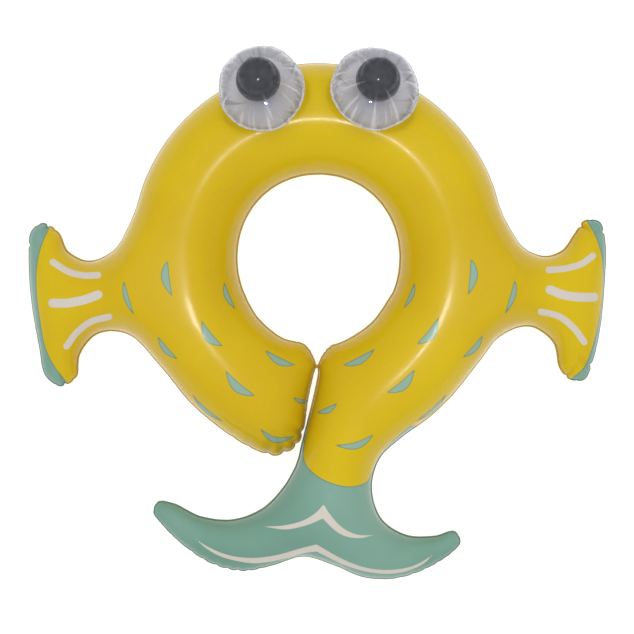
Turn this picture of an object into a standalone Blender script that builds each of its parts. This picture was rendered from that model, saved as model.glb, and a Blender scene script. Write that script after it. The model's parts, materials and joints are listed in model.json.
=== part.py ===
# Inflatable fish swim ring, deflation valve at the back, two bubble eyes with loose balls.
# Lies flat, front up: X across the fins, Y from tail to head, Z up. Metres in the scene,
# millimetres in the constants and functions below.
import math
import bpy
import bmesh
import numpy as np
from mathutils import Vector, Matrix
from mathutils.geometry import delaunay_2d_cdt

MM = 0.001

# ---------------------------------------------------------------- driving dimensions (mm)
X_SHIFT, Y_SHIFT = 1.1, 7.3       # puts the whole ring's bounding box on the origin
RING_CENTRE = (0.0, 79.3)         # outer circle of the ring
RING_RADIUS = 237.3
HOLE_CENTRE = (0.4, 69.5)         # body opening, very slightly taller than wide
HOLE_RX, HOLE_RY, HOLE_POWER = 102.6, 105.4, 2.06
CREST_SOFT, CREST_SPAN = 60.0, 12.0    # the film's crest is eased flat above this height
REST_HEIGHT = 66.6                # the back film is pressed flat at this depth where it lies down
SEAM_WIDTH = 2.6                  # flat weld all round
SEAM_GAP = 0.3                    # between the two films in the weld
FILM = 0.5                        # film thickness
SEAM_Z = REST_HEIGHT + SEAM_GAP / 2 + FILM     # seam plane over the ground

EYE_RADIUS, EYE_DEPTH = 53.0, 32.0     # bubble: half width, half thickness
EYE_AZIMUTH = 19.7                # degrees either side of the head's middle line
EYE_TILT = 17.0                   # degrees the bubble leans outwards
EYE_RING_OFFSET = 205.3           # bubble middle, from the ring's centre
EYE_PRESS = 1.6                   # how far the ring's film is pressed flat under an eye
EYE_PATCH_R, EYE_PATCH_T, EYE_PATCH_SHIFT = 11.0, 0.5, -5.0
EYE_FLAT = 2.0                    # how far the bubble's back is pressed flat on the ring
EYE_FILM = 0.4
EYE_FLANGE = 2.4
BALL_RADIUS, BALL_WALL, BALL_OFFSET, BALL_DROP = 27.2, 1.4, 13.0, 1.2

VALVE_AZIMUTH = 48.0              # main valve, on the right of the head, at the back
VALVE_SECTION = 50.0              # degrees up from straight down, outwards
VALVE_FLAT_R, VALVE_HOLE_R, VALVE_PRESS = 16.5, 9.5, 1.9
EYE_VALVE_REACH = 44.0            # small valve: distance from the bubble's axis, outwards

TRI_LONG, TRI_SHORT = 26.0, 8.0   # boundary spacing of the film's faces

# ---------------------------------------------------------------- outline design points (mm)
# anticlockwise; each group is a free curve through its points
RING_END_RIGHT = [(92, 22), (68, -12), (34, -35), (13, -43.5), (2.5, -58), (-0.3, -75),
                  (-5, -106), (-12, -134), (-19, -163)]
TAIL_LEFT_FLUKE = [(-28, -192), (-46, -223.5), (-72, -249), (-109, -262.5), (-150, -258),
                   (-182, -242.5), (-203, -239.5), (-209.5, -253), (-196, -272), (-167, -299),
                   (-133, -320), (-95, -328.5), (-57, -321), (-19, -310)]
TAIL_RIGHT_FLUKE = [(20, -321), (57, -336), (96, -338), (135, -326.5), (170, -305),
                    (181.3, -291), (173, -277), (149, -283), (112, -282), (81, -262),
                    (68.5, -224), (78, -186), (107, -158)]
FIN_RIGHT = [(139, -135), (169, -107), (206, -61), (231, -30.5), (268, -18), (298, -38),
             (306, -70), (318, -84.5), (338, -85.5), (348.5, -63), (358, -22), (364, 36),
             (365, 88), (358, 115), (338, 117), (325, 100), (310, 79.5), (288, 72), (262, 82),
             (240.5, 113)]
FIN_LEFT = [(-239, 114), (-259, 80), (-290, 66), (-317, 78), (-329, 102), (-349, 114),
            (-364.5, 103), (-367.6, 63), (-364, 12), (-354.5, -43), (-346.5, -80), (-327, -94),
            (-306.5, -82), (-302, -53), (-279, -27), (-241, -28), (-199, -70), (-161, -116),
            (-115, -154)]
RING_END_LEFT = [(-80, -174), (-53, -181), (-27, -168.5), (-18, -145), (-13, -112), (-6, -77),
                 (-5, -59), (-16, -40.5), (-45, -32), (-77, -5)]


def ring_arc():
    """Outer edge of the ring over the head, from fin to fin."""
    a = np.radians(np.linspace(13.5, 166.5, 24))
    return np.c_[RING_CENTRE[0] + RING_RADIUS * np.cos(a), RING_CENTRE[1] + RING_RADIUS * np.sin(a)]


def hole_arc():
    """Edge of the body opening, open at the bottom where the two ends meet."""
    a = np.radians(np.linspace(204, -24, 26))
    c, s = np.cos(a), np.sin(a)
    r = (np.abs(c) ** HOLE_POWER + np.abs(s) ** HOLE_POWER) ** (-1 / HOLE_POWER)
    return np.c_[HOLE_CENTRE[0] + HOLE_RX * r * c, HOLE_CENTRE[1] + HOLE_RY * r * s]


def smooth_loop(pts, n=12):
    """Centripetal Catmull-Rom curve through a closed loop of points."""
    out, count = [], len(pts)
    for i in range(count):
        p0, p1, p2, p3 = pts[i - 1], pts[i], pts[(i + 1) % count], pts[(i + 2) % count]
        t1 = math.dist(p0, p1) ** 0.5
        t2 = t1 + math.dist(p1, p2) ** 0.5
        t3 = t2 + math.dist(p2, p3) ** 0.5
        t = np.linspace(t1, t2, n, endpoint=False)[:, None]
        a1 = (t1 - t) / t1 * p0 + t / t1 * p1
        a2 = (t2 - t) / (t2 - t1) * p1 + (t - t1) / (t2 - t1) * p2
        a3 = (t3 - t) / (t3 - t2) * p2 + (t - t2) / (t3 - t2) * p3
        b1 = (t2 - t) / t2 * a1 + t / t2 * a2
        b2 = (t3 - t) / (t3 - t1) * a2 + (t - t1) / (t3 - t1) * a3
        out.append((t2 - t) / (t2 - t1) * b1 + (t - t1) / (t2 - t1) * b2)
    return np.vstack(out)


def outline():
    pts = np.vstack([RING_END_RIGHT, TAIL_LEFT_FLUKE, TAIL_RIGHT_FLUKE, FIN_RIGHT, ring_arc(),
                     FIN_LEFT, RING_END_LEFT, hole_arc()])
    return smooth_loop(pts)


def graded_loop(curve, long_step, short_step):
    """Points along a closed curve: far apart on gentle bends, close on tight ones."""
    nxt = np.roll(curve, -1, axis=0)
    seg = np.hypot(*(nxt - curve).T)
    s = np.r_[0, np.cumsum(seg)]
    total = s[-1]
    m = 4000
    q = np.arange(m) * total / m
    ext = np.vstack([curve, curve[:1]])
    dense = np.c_[np.interp(q, s, ext[:, 0]), np.interp(q, s, ext[:, 1])]
    w = max(1, int(8.0 / (total / m)))
    d1 = dense - np.roll(dense, w, axis=0)
    d2 = np.roll(dense, -w, axis=0) - dense
    turn = np.abs(np.arctan2(d1[:, 0] * d2[:, 1] - d1[:, 1] * d2[:, 0], (d1 * d2).sum(1)))
    radius = w * total / m / np.maximum(turn, 1e-4)
    step = np.clip(radius * 0.42, short_step, long_step)
    k = int(long_step / (total / m))
    low = step.copy()
    for j in range(-k, k + 1):
        low = np.minimum(low, np.roll(step, j) + abs(j) * total / m * 0.35)
    density = np.cumsum(1.0 / low) * total / m
    n = int(round(density[-1]))
    want = np.arange(n) * density[-1] / n
    pos = np.interp(want, np.r_[0, density], np.r_[q, total])
    return np.c_[np.interp(pos, s, ext[:, 0]), np.interp(pos, s, ext[:, 1])]


def edge_distance(p, loop):
    """Distance of each point to a closed polygon, positive inside."""
    a, b = loop, np.roll(loop, -1, axis=0)
    ab = b - a
    best = np.full(len(p), 1e9)
    inside = np.zeros(len(p), bool)
    for i in range(len(a)):
        ap = p - a[i]
        t = np.clip((ap @ ab[i]) / max(ab[i] @ ab[i], 1e-9), 0, 1)
        best = np.minimum(best, np.hypot(*(ap - t[:, None] * ab[i]).T))
        if a[i][1] != b[i][1]:
            cross = ((a[i][1] > p[:, 1]) != (b[i][1] > p[:, 1])) & \
                (p[:, 0] < (b[i][0] - a[i][0]) * (p[:, 1] - a[i][1]) / (b[i][1] - a[i][1]) + a[i][0])
            inside ^= cross
    return np.where(inside, best, -best)


def inward(loop, depth):
    """The loop moved inwards by a depth (the loop runs clockwise or anticlockwise)."""
    t = np.roll(loop, -1, axis=0) - np.roll(loop, 1, axis=0)
    t /= np.hypot(*t.T)[:, None]
    area = 0.5 * np.sum(loop[:, 0] * np.roll(loop[:, 1], -1) - np.roll(loop[:, 0], -1) * loop[:, 1])
    n = np.c_[-t[:, 1], t[:, 0]] * (1 if area > 0 else -1)
    return loop + depth * n


def keep_apart(points, others, gap):
    """Keep the points that stay a gap away from those already kept."""
    kept = list(others)
    out = []
    arr = np.array(kept) if kept else np.zeros((0, 2))
    for p in points:
        if len(arr) == 0 or np.min(np.hypot(arr[:, 0] - p[0], arr[:, 1] - p[1])) > gap:
            out.append(p)
            arr = np.vstack([arr, p])
    return out


def stretch_solve(verts, tris, fixed):
    """Height of a film blown up over a fixed edge: Poisson's equation on the triangles."""
    n = len(verts)
    k = np.zeros((n, n))
    load = np.zeros(n)
    for a, b, c in tris:
        p = verts[[a, b, c]]
        area2 = (p[1][0] - p[0][0]) * (p[2][1] - p[0][1]) - (p[2][0] - p[0][0]) * (p[1][1] - p[0][1])
        g = np.array([[p[1][1] - p[2][1], p[2][0] - p[1][0]], [p[2][1] - p[0][1], p[0][0] - p[2][0]],
                      [p[0][1] - p[1][1], p[1][0] - p[0][0]]]) / area2
        local = g @ g.T * abs(area2) / 2
        for i, u in enumerate((a, b, c)):
            load[u] += abs(area2) / 6
            for j, v in enumerate((a, b, c)):
                k[u, v] += local[i, j]
    free = np.array([i for i in range(n) if i not in fixed])
    u = np.zeros(n)
    u[free] = np.linalg.solve(k[np.ix_(free, free)], load[free])
    return u


# ---------------------------------------------------------------- placement of eyes and valve
def tube_frame(azimuth, sign=1):
    """Middle of the tube at an azimuth from +Y, the outward direction there, half its width."""
    a = math.radians(azimuth) * sign
    out = Vector((math.sin(a), math.cos(a), 0))
    ring = Vector((RING_CENTRE[0], RING_CENTRE[1], 0))
    lo, hi = 0.0, RING_RADIUS
    for _ in range(40):
        mid = (lo + hi) / 2
        q = ring + out * mid
        x = abs(q.x - HOLE_CENTRE[0]) / HOLE_RX
        y = abs(q.y - HOLE_CENTRE[1]) / HOLE_RY
        if x ** HOLE_POWER + y ** HOLE_POWER < 1:
            lo = mid
        else:
            hi = mid
    return ring + out * (lo + RING_RADIUS) / 2, out, (RING_RADIUS - lo) / 2


def basis(axis, along):
    """Rotation whose Z is the axis and whose X lies as near as possible to 'along'."""
    z = axis.normalized()
    x = (along - z * along.dot(z)).normalized()
    return Matrix((x, z.cross(x), z)).transposed()


def eye_axis(sign):
    _, out, _ = tube_frame(EYE_AZIMUTH, sign)
    t = math.radians(EYE_TILT)
    return out * math.sin(t) + Vector((0, 0, 1)) * math.cos(t), out


def eye_middle(sign, plane):
    """Middle of a bubble whose pressed back lies on the patch over the mount plane."""
    axis, out = eye_axis(sign)
    base = Vector((RING_CENTRE[0], RING_CENTRE[1], 0)) + out * EYE_RING_OFFSET
    need = plane + 0.3 + EYE_PATCH_T + 0.3 + EYE_DEPTH - EYE_FLAT
    base.z = (need - base.dot(axis)) / axis.z
    return base


def valve_place():
    """Point on the flattened back film where the main valve sits, and its rotation."""
    centre, out, half = tube_frame(VALVE_AZIMUTH)
    s = math.radians(VALVE_SECTION)
    axis = out * math.sin(s) - Vector((0, 0, 1)) * math.cos(s)
    reach = half - SEAM_WIDTH
    point = centre + Vector((0, 0, SEAM_Z)) + axis * (reach - VALVE_PRESS)
    return point, axis, basis(axis, Vector((0, 0, 1)))


# ---------------------------------------------------------------- scene helpers
for stale in list(bpy.data.objects):
    bpy.data.objects.remove(stale, do_unlink=True)

parts = bpy.data.collections.new("fish_swim_ring")
bpy.context.scene.collection.children.link(parts)
cutters = bpy.data.collections.new("cutters")
bpy.context.scene.collection.children.link(cutters)

COLOURS = {
    "yellow": ((0.60, 0.47, 0.035), 0.22), "backing": ((0.62, 0.50, 0.06), 0.25),
    "clear": ((0.62, 0.62, 0.66), 0.12), "pale": ((0.52, 0.50, 0.57), 0.28),
    "black": ((0.016, 0.018, 0.022), 0.10), "valve": ((0.66, 0.55, 0.12), 0.35),
    "valve_pale": ((0.70, 0.70, 0.72), 0.35),
}


def material(name, key):
    colour, rough = COLOURS[key]
    m = bpy.data.materials.new(name)
    m.use_nodes = True
    shader = m.node_tree.nodes["Principled BSDF"]
    shader.inputs["Base Color"].default_value = (*colour, 1)
    shader.inputs["Roughness"].default_value = rough
    shader.inputs["Metallic"].default_value = 0.0
    if key == "clear":
        shader.inputs["Alpha"].default_value = 0.35
    return m


def world(point):
    return Vector(((point[0] + X_SHIFT) * MM, (point[1] + Y_SHIFT) * MM, point[2] * MM))


def anchor(name, point, rot):
    """Empty that carries the pieces of one eye or one valve; its Z is their axis."""
    empty = bpy.data.objects.new(name, None)
    empty.empty_display_size = 0.01
    parts.objects.link(empty)
    empty.matrix_basis = Matrix.Translation(world(point)) @ rot.to_4x4()
    return empty


def hinge(name, parent, at):
    """Empty on a flap's hinge line, which runs along its Y."""
    empty = bpy.data.objects.new(name, None)
    empty.empty_display_size = 0.003
    parts.objects.link(empty)
    empty.parent = parent
    empty.location = Vector(at) * MM
    return empty


def settle(obj, key, parent=None, at=(0, 0, 0)):
    obj.data.materials.append(material(obj.name, key))
    parts.objects.link(obj)
    if parent is not None:
        obj.parent = parent
    obj.location = Vector(at) * MM
    return obj


def turned(name, profile, key, parent, at=(0, 0, 0), steps=14):
    """A turned piece: a closed profile in (radius, height) mm with a Screw modifier."""
    mesh = bpy.data.meshes.new(name)
    edges = [(i, i + 1) for i in range(len(profile) - 1)]
    if profile[0][0] > 0:
        edges.append((len(profile) - 1, 0))
    mesh.from_pydata([(r * MM, 0.0, z * MM) for r, z in profile], edges, [])
    obj = settle(bpy.data.objects.new(name, mesh), key, parent, at)
    screw = obj.modifiers.new("turn", "SCREW")
    screw.axis = "Z"
    screw.steps = steps
    screw.render_steps = steps
    screw.use_merge_vertices = True
    screw.merge_threshold = 0.000001
    screw.use_smooth_shade = True
    return obj


def bent_strap(name, path, key, parent, half_width=1.1, half_thick=0.35):
    """A moulded strap: a flat ribbon along a curve in the plane through the valve's axis."""
    curve = bpy.data.curves.new(name, "CURVE")
    curve.dimensions = "3D"
    curve.use_fill_caps = True
    curve.extrude = half_width * MM
    curve.bevel_depth = half_thick * MM
    curve.bevel_resolution = 1
    loop = np.array(path, float)
    n = len(loop)
    dense = []
    for i in range(n - 1):
        p0 = loop[max(i - 1, 0)]
        p1, p2 = loop[i], loop[i + 1]
        p3 = loop[min(i + 2, n - 1)]
        for t in (0.0, 0.5):
            dense.append(0.5 * (2 * p1 + (p2 - p0) * t + (2 * p0 - 5 * p1 + 4 * p2 - p3) * t * t
                                + (3 * p1 - p0 - 3 * p2 + p3) * t ** 3))
    dense.append(loop[-1])
    spline = curve.splines.new("POLY")
    spline.points.add(len(dense) - 1)
    for point, (x, z) in zip(spline.points, dense):
        point.co = (x * MM, z * MM, 0, 1)
    obj = settle(bpy.data.objects.new(name, curve), key, parent)
    obj.rotation_euler = (math.pi / 2, 0, 0)
    return obj


# ---------------------------------------------------------------- the inflated body
def ease(h):
    """Film height with its crest eased flat, as a welded sheet takes it."""
    return np.where(h > CREST_SOFT, CREST_SOFT + CREST_SPAN * np.tanh((h - CREST_SOFT) / CREST_SPAN), h)


def circle_in(point, rot, radius, count):
    """Plan positions of a circle lying in a tilted plane."""
    out = []
    for i in range(count):
        a = 2 * math.pi * i / count
        q = Vector(point) + rot @ Vector((radius * math.cos(a), radius * math.sin(a), 0))
        out.append((q.x, q.y))
    return out


def film_plan(discs, hole_sides):
    """Plan of the film's corners: weld edge, rows inside it, discs, and a loose fill."""
    edge = graded_loop(outline(), TRI_LONG, TRI_SHORT)
    weld = inward(edge, SEAM_WIDTH)
    fixed = list(edge) + list(weld) + [p for disc in discs for p in disc]
    clear_of = np.array([p for disc in discs for p in disc])
    kept = list(fixed)
    for depth, gap in ((7.6, 4.6), (21.5, 11.5), (43.0, 18.0)):
        row = inward(edge, depth)
        d = edge_distance(row, edge)
        row = [p for p, dd in zip(row, d) if dd > depth * 0.92
               and np.min(np.hypot(*(clear_of - p).T)) > 9]
        kept += keep_apart(row, kept, gap)
    lo, hi = edge.min(0), edge.max(0)
    step = 11.0
    grid = np.array([(lo[0] + (i + 0.5 * (j % 2)) * step, lo[1] + j * step * 0.866)
                     for j in range(int((hi[1] - lo[1]) / (step * 0.866)) + 1)
                     for i in range(int((hi[0] - lo[0]) / step) + 1)])
    d = edge_distance(grid, edge)
    order = np.argsort(-d, kind="stable")
    grid = grid[order][d[order] > 14.0]
    centres = [np.mean(disc, axis=0) for disc in discs]
    grid = np.array([p for p in grid if all(np.hypot(*(p - c)) > 21 for c in centres)])
    kept += keep_apart(grid, kept, 21.0)
    n = len(edge)
    edges = [(i, (i + 1) % n) for i in range(n)] + [(n + i, n + (i + 1) % n) for i in range(n)]
    start = 2 * n
    for disc in discs:
        k = len(disc)
        edges += [(start + i, start + (i + 1) % k) for i in range(k)]
        start += k
    pts = [Vector((float(x), float(y))) for x, y in kept]
    verts, _, faces, _, _, _ = delaunay_2d_cdt(pts, edges, [], 1, 1e-6)
    v = np.array([(p.x, p.y) for p in verts])
    tris = np.array([f for f in faces if len(f) == 3])
    mid = v[tris].mean(1)
    tris = tris[edge_distance(mid, edge) > 0]
    if hole_sides:
        tris = tris[edge_distance(v[tris].mean(1), np.array(discs[0])) < 0]
    used = np.unique(tris)
    remap = np.full(len(v), -1)
    remap[used] = np.arange(len(used))
    v, tris = v[used], remap[tris]
    flat = edge_distance(v, weld) < 0.05
    inner = tris[edge_distance(v[tris].mean(1), weld) > 0]
    u = stretch_solve(v, inner, {i for i in range(len(v)) if flat[i]})
    return v, tris, ease(np.sqrt(2 * np.maximum(u, 0)))


def film(name, key, v, tris, z, side):
    """One film of the body. Its free inflated outline is laid out by triangulation, because
    no modifier makes it; its thickness is a Solidify modifier."""
    mesh = bpy.data.meshes.new(name)
    co = np.c_[v[:, 0], v[:, 1], z]
    area = np.cross(v[tris[:, 1]] - v[tris[:, 0]], v[tris[:, 2]] - v[tris[:, 0]])
    tris = np.where((area * side > 0)[:, None], tris, tris[:, ::-1])
    mesh.from_pydata([tuple(world(p)) for p in co], [], [tuple(int(i) for i in t) for t in tris])
    mesh.shade_smooth()
    mesh.set_sharp_from_angle(angle=math.radians(60))
    obj = settle(bpy.data.objects.new(name, mesh), key)
    solid = obj.modifiers.new("film", "SOLIDIFY")
    solid.thickness = FILM * MM
    solid.offset = -1
    solid.use_even_offset = True
    solid.use_quality_normals = True
    return obj


WELD_TOP = SEAM_GAP / 2 + FILM
eye_discs = []
for sign in (-1, 1):
    axis, out = eye_axis(sign)
    centre, _, half = tube_frame(EYE_AZIMUTH, sign)
    spot = centre + out * ((half - SEAM_WIDTH) * math.sin(math.radians(EYE_TILT)) + 5.0)
    eye_discs.append(circle_in(spot, basis(axis, out), EYE_PATCH_R + 2.5, 10))
fv, ft, fh = film_plan(eye_discs, False)
fz = SEAM_Z + WELD_TOP + fh
eye_planes = {}
for sign in (-1, 1):
    axis, out = eye_axis(sign)
    centre, _, _ = tube_frame(EYE_AZIMUTH, sign)
    near = np.hypot(fv[:, 0] - centre.x, fv[:, 1] - centre.y) < 60
    reach = fv[:, 0] * axis.x + fv[:, 1] * axis.y + fz * axis.z
    plane = float(reach[near].max()) - EYE_PRESS
    eye_planes[sign] = plane
    press = near & (reach > plane)
    fz = np.where(press, (plane - fv[:, 0] * axis.x - fv[:, 1] * axis.y) / axis.z, fz)
film("front_skin", "yellow", fv, ft, fz, 1)

valve_point, valve_axis, valve_rot = valve_place()
valve_discs = [circle_in(valve_point, valve_rot, VALVE_HOLE_R, 14),
               circle_in(valve_point, valve_rot, VALVE_FLAT_R, 14)]
bv, bt, bh = film_plan(valve_discs, True)
bz = SEAM_Z - WELD_TOP - np.minimum(bh, REST_HEIGHT)
for i, (x, y) in enumerate(bv):
    z_plane = (valve_point.dot(valve_axis) - x * valve_axis.x - y * valve_axis.y) / valve_axis.z
    q = Vector((x, y, z_plane)) - valve_point
    over = x * valve_axis.x + y * valve_axis.y + bz[i] * valve_axis.z > valve_point.dot(valve_axis)
    if q.length < VALVE_FLAT_R + 0.2 or (over and q.length < 60):
        bz[i] = z_plane
film("back_skin", "backing", bv, bt, bz, -1)

# the two ends of the ring are tacked together by a small welded tab
TACK = (9.4, 8.0, 0.5)
mesh = bpy.data.meshes.new("end_tack_tab")
bm = bmesh.new()
bmesh.ops.create_cube(bm, size=1.0, matrix=Matrix.Diagonal((TACK[0] * MM, TACK[1] * MM, TACK[2] * MM, 1)))
bm.to_mesh(mesh)
bm.free()
tab = settle(bpy.data.objects.new("end_tack_tab", mesh), "yellow")
tab.location = world((-2.6, -70.0, SEAM_Z + WELD_TOP + 0.3 + TACK[2] / 2))

# ---------------------------------------------------------------- eyes
def arc(radius, depth, base, count, clip=None):
    """Quarter ellipse from the axis to the rim: (radius, height) pairs."""
    pts = []
    for i in range(count + 1):
        a = math.pi / 2 * i / count
        pts.append((radius * math.sin(a), base + (depth - base) * math.cos(a)))
    if clip is not None:
        cos_a = (clip - base) / (depth - base)
        edge_r = radius * math.sqrt(1 - cos_a * cos_a)
        pts = [(0.0, clip), (edge_r, clip)] + [p for p in pts if p[1] < clip - 0.6]
    return pts


FACE = SEAM_GAP / 2
for side_name, sign in (("left", -1), ("right", 1)):
    axis, out = eye_axis(sign)
    rot = basis(axis, out)
    middle = eye_middle(sign, eye_planes[sign])
    eye = anchor("eye_%s" % side_name, middle, rot)
    dome_r = EYE_RADIUS - EYE_FLANGE
    outer = arc(dome_r, EYE_DEPTH, FACE + EYE_FILM, 7)
    inner = arc(dome_r - EYE_FILM, EYE_DEPTH - EYE_FILM, FACE, 7)
    turned("eye_%s_front_dome" % side_name,
           outer + [(EYE_RADIUS, FACE + EYE_FILM), (EYE_RADIUS, FACE)] + inner[::-1],
           "clear", eye, steps=22)
    outer = arc(dome_r, EYE_DEPTH, FACE + EYE_FILM, 7, clip=EYE_DEPTH - EYE_FLAT)
    inner = arc(dome_r - EYE_FILM, EYE_DEPTH - EYE_FILM, FACE, 7, clip=EYE_DEPTH - EYE_FLAT - EYE_FILM)
    low = [(r, -z) for r, z in inner] + [(EYE_RADIUS, -FACE), (EYE_RADIUS, -FACE - EYE_FILM)] \
        + [(r, -z) for r, z in outer[::-1]]
    dome = turned("eye_%s_back_dome" % side_name, low, "pale", eye, steps=22)

    turned("eye_%s_mount_patch" % side_name,
           [(0, EYE_PATCH_T), (EYE_PATCH_R, EYE_PATCH_T), (EYE_PATCH_R, 0), (0, 0)], "valve_pale", eye,
           at=(EYE_PATCH_SHIFT, 0, -(EYE_DEPTH - EYE_FLAT) - 0.3 - EYE_PATCH_T), steps=16)

    ball_at = (BALL_OFFSET, 0, -BALL_DROP)
    shell = [(BALL_RADIUS * math.sin(a), BALL_RADIUS * math.cos(a))
             for a in np.radians(np.linspace(0, 90, 7))]
    core = [((BALL_RADIUS - BALL_WALL) * math.sin(a), (BALL_RADIUS - BALL_WALL) * math.cos(a))
            for a in np.radians(np.linspace(0, 90, 6))]
    shell[-1], core[-1] = (BALL_RADIUS, FACE), (BALL_RADIUS - BALL_WALL, FACE)
    turned("pupil_%s_front" % side_name, shell + core[::-1], "black", eye, at=ball_at, steps=18)
    turned("pupil_%s_back" % side_name, [(r, -z) for r, z in core] + [(r, -z) for r, z in shell[::-1]],
           "black", eye, at=ball_at, steps=18)

    # small air valve on the bubble's back, on the side that hangs over the ring's edge
    rx = EYE_VALVE_REACH
    rz = -(FACE + EYE_FILM) - (EYE_DEPTH - FACE - EYE_FILM) * math.sqrt(1 - (rx / dome_r) ** 2)
    normal = Vector((rx / dome_r ** 2, 0, rz / EYE_DEPTH ** 2)).normalized()
    local = basis(normal, Vector((-1, 0, 0)))
    seat = middle + rot @ Vector((rx, 0, rz))
    small = anchor("eye_%s_valve" % side_name, seat, rot @ local)
    bpy.ops.mesh.primitive_cylinder_add(vertices=14, radius=3.6 * MM, depth=14 * MM)
    punch = bpy.context.object
    punch.name = "eye_%s_valve_punch" % side_name
    for c in list(punch.users_collection):
        c.objects.unlink(punch)
    cutters.objects.link(punch)
    punch.parent = small
    punch.hide_render = True
    punch.display_type = "WIRE"
    cut = dome.modifiers.new("valve_hole", "BOOLEAN")
    cut.object = punch
    cut.solver = "EXACT"
    turned("eye_%s_valve_stem" % side_name,
           [(2.3, 2.4), (3.6, 2.4), (3.6, 1.5), (3.1, 1.3), (7.4, 1.3), (7.6, 0.6), (3.1, 0.6),
            (3.1, -3.6), (2.3, -3.6)], "valve_pale", small, steps=14)
    turned("eye_%s_valve_plug" % side_name,
           [(0, 3.9), (3.2, 3.9), (3.7, 3.4), (3.7, 2.7), (2.0, 2.7), (1.9, -1.6), (1.5, -2.2),
            (0, -2.2)], "valve_pale", small, steps=14)
    bent_strap("eye_%s_valve_strap" % side_name,
               [(4.0, 2.0), (6.0, 2.3), (8.0, 3.0), (9.0, 4.2), (8.2, 5.3), (6.2, 5.0), (4.8, 3.8),
                (4.1, 3.3)], "valve_pale", small, 0.9, 0.3)
    turned("eye_%s_valve_flap" % side_name,
           [(0, 0.2), (2.8, 0.2), (2.8, -0.2), (0, -0.2)], "valve_pale",
           hinge("eye_%s_flap_hinge" % side_name, small, (-2.8, 0, -4.1)), at=(2.8, 0, 0), steps=14)

# ---------------------------------------------------------------- main air valve
valve = anchor("main_valve", valve_point, valve_rot)
turned("valve_base",
       [(8.1, 1.1), (14.6, 1.1), (15.0, 0.8), (15.0, 0.3), (9.1, 0.3), (9.1, -2.4), (8.1, -2.4)],
       "valve", valve, steps=20)
turned("valve_membrane",
       [(7.8, -1.6), (7.8, -2.4), (5.9, -12.2), (5.5, -12.2), (5.5, -11.4), (7.2, -2.4), (7.2, -1.6)],
       "valve", valve, steps=18)
turned("valve_stem",
       [(3.3, 1.6), (5.2, 1.6), (5.2, 0.6), (4.6, 0.2), (4.6, -10.6), (5.2, -11.0), (5.2, -12.4),
        (3.3, -12.4)], "valve", valve, steps=18)
turned("valve_plug",
       [(0, 3.4), (5.0, 3.4), (5.5, 3.0), (5.5, 1.9), (3.0, 1.9), (2.9, -4.6), (2.3, -5.6), (0, -5.6)],
       "valve", valve, steps=18)
bent_strap("valve_strap",
           [(5.6, 1.2), (8.0, 1.9), (11.0, 2.6), (13.4, 3.8), (14.0, 5.6), (12.0, 6.6), (9.2, 5.8),
            (7.2, 3.9), (5.9, 2.6)], "valve", valve, 1.4, 0.4)
turned("valve_flap", [(0, 0.25), (4.5, 0.25), (4.5, -0.25), (0, -0.25)], "valve",
       hinge("flap_hinge", valve, (-4.5, 0, -13.0)), at=(4.5, 0, 0), steps=16)
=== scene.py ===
import json
import math
import bpy
import numpy as np
from mathutils import Matrix, Vector
from mathutils.geometry import delaunay_2d_cdt
from mathutils.kdtree import KDTree


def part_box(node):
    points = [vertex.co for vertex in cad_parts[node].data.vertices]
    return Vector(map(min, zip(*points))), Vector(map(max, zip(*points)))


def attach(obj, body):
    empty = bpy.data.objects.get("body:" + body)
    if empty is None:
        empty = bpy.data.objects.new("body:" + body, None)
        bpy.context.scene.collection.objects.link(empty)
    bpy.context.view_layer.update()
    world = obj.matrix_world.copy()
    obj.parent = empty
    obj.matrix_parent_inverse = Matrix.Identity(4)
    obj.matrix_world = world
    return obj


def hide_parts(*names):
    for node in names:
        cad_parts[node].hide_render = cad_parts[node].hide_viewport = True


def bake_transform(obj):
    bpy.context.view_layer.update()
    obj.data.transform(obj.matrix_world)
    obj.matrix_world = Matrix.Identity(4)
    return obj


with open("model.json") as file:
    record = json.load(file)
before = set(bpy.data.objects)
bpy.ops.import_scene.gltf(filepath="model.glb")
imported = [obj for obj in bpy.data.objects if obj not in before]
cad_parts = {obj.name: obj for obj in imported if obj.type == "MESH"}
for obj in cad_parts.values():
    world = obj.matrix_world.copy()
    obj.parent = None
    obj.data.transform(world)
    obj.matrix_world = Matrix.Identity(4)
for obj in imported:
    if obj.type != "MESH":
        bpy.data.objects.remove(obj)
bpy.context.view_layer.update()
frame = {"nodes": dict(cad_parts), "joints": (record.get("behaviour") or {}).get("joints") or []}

MM = 0.001
SHIFT = np.array([1.1, 7.3])          # plan position -> row frame
RING_CENTRE, RING_RADIUS = (0.0, 79.3), 237.3
HOLE_CENTRE, HOLE_RX, HOLE_RY, HOLE_POWER = (0.4, 69.5), 102.6, 105.4, 2.06
CREST_SOFT, CREST_SPAN = 60.0, 12.0
CREST_SKEW = 0.0021
REST_HEIGHT = 66.6
SEAM_Z = 67.25
WELD = 1.5                            # flat weld all round, as it shows
FILM_LOW, FILM_RISE = 0.32, 0.33      # film face over the seam plane: in the weld, then added
EYE_FLAT = 2.0

# print layout: the pattern was laid out for a flat view from straight above
VIEW_AXIS, VIEW_HEIGHT = np.array([-1.4, -5.7]), 2125.0

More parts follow.
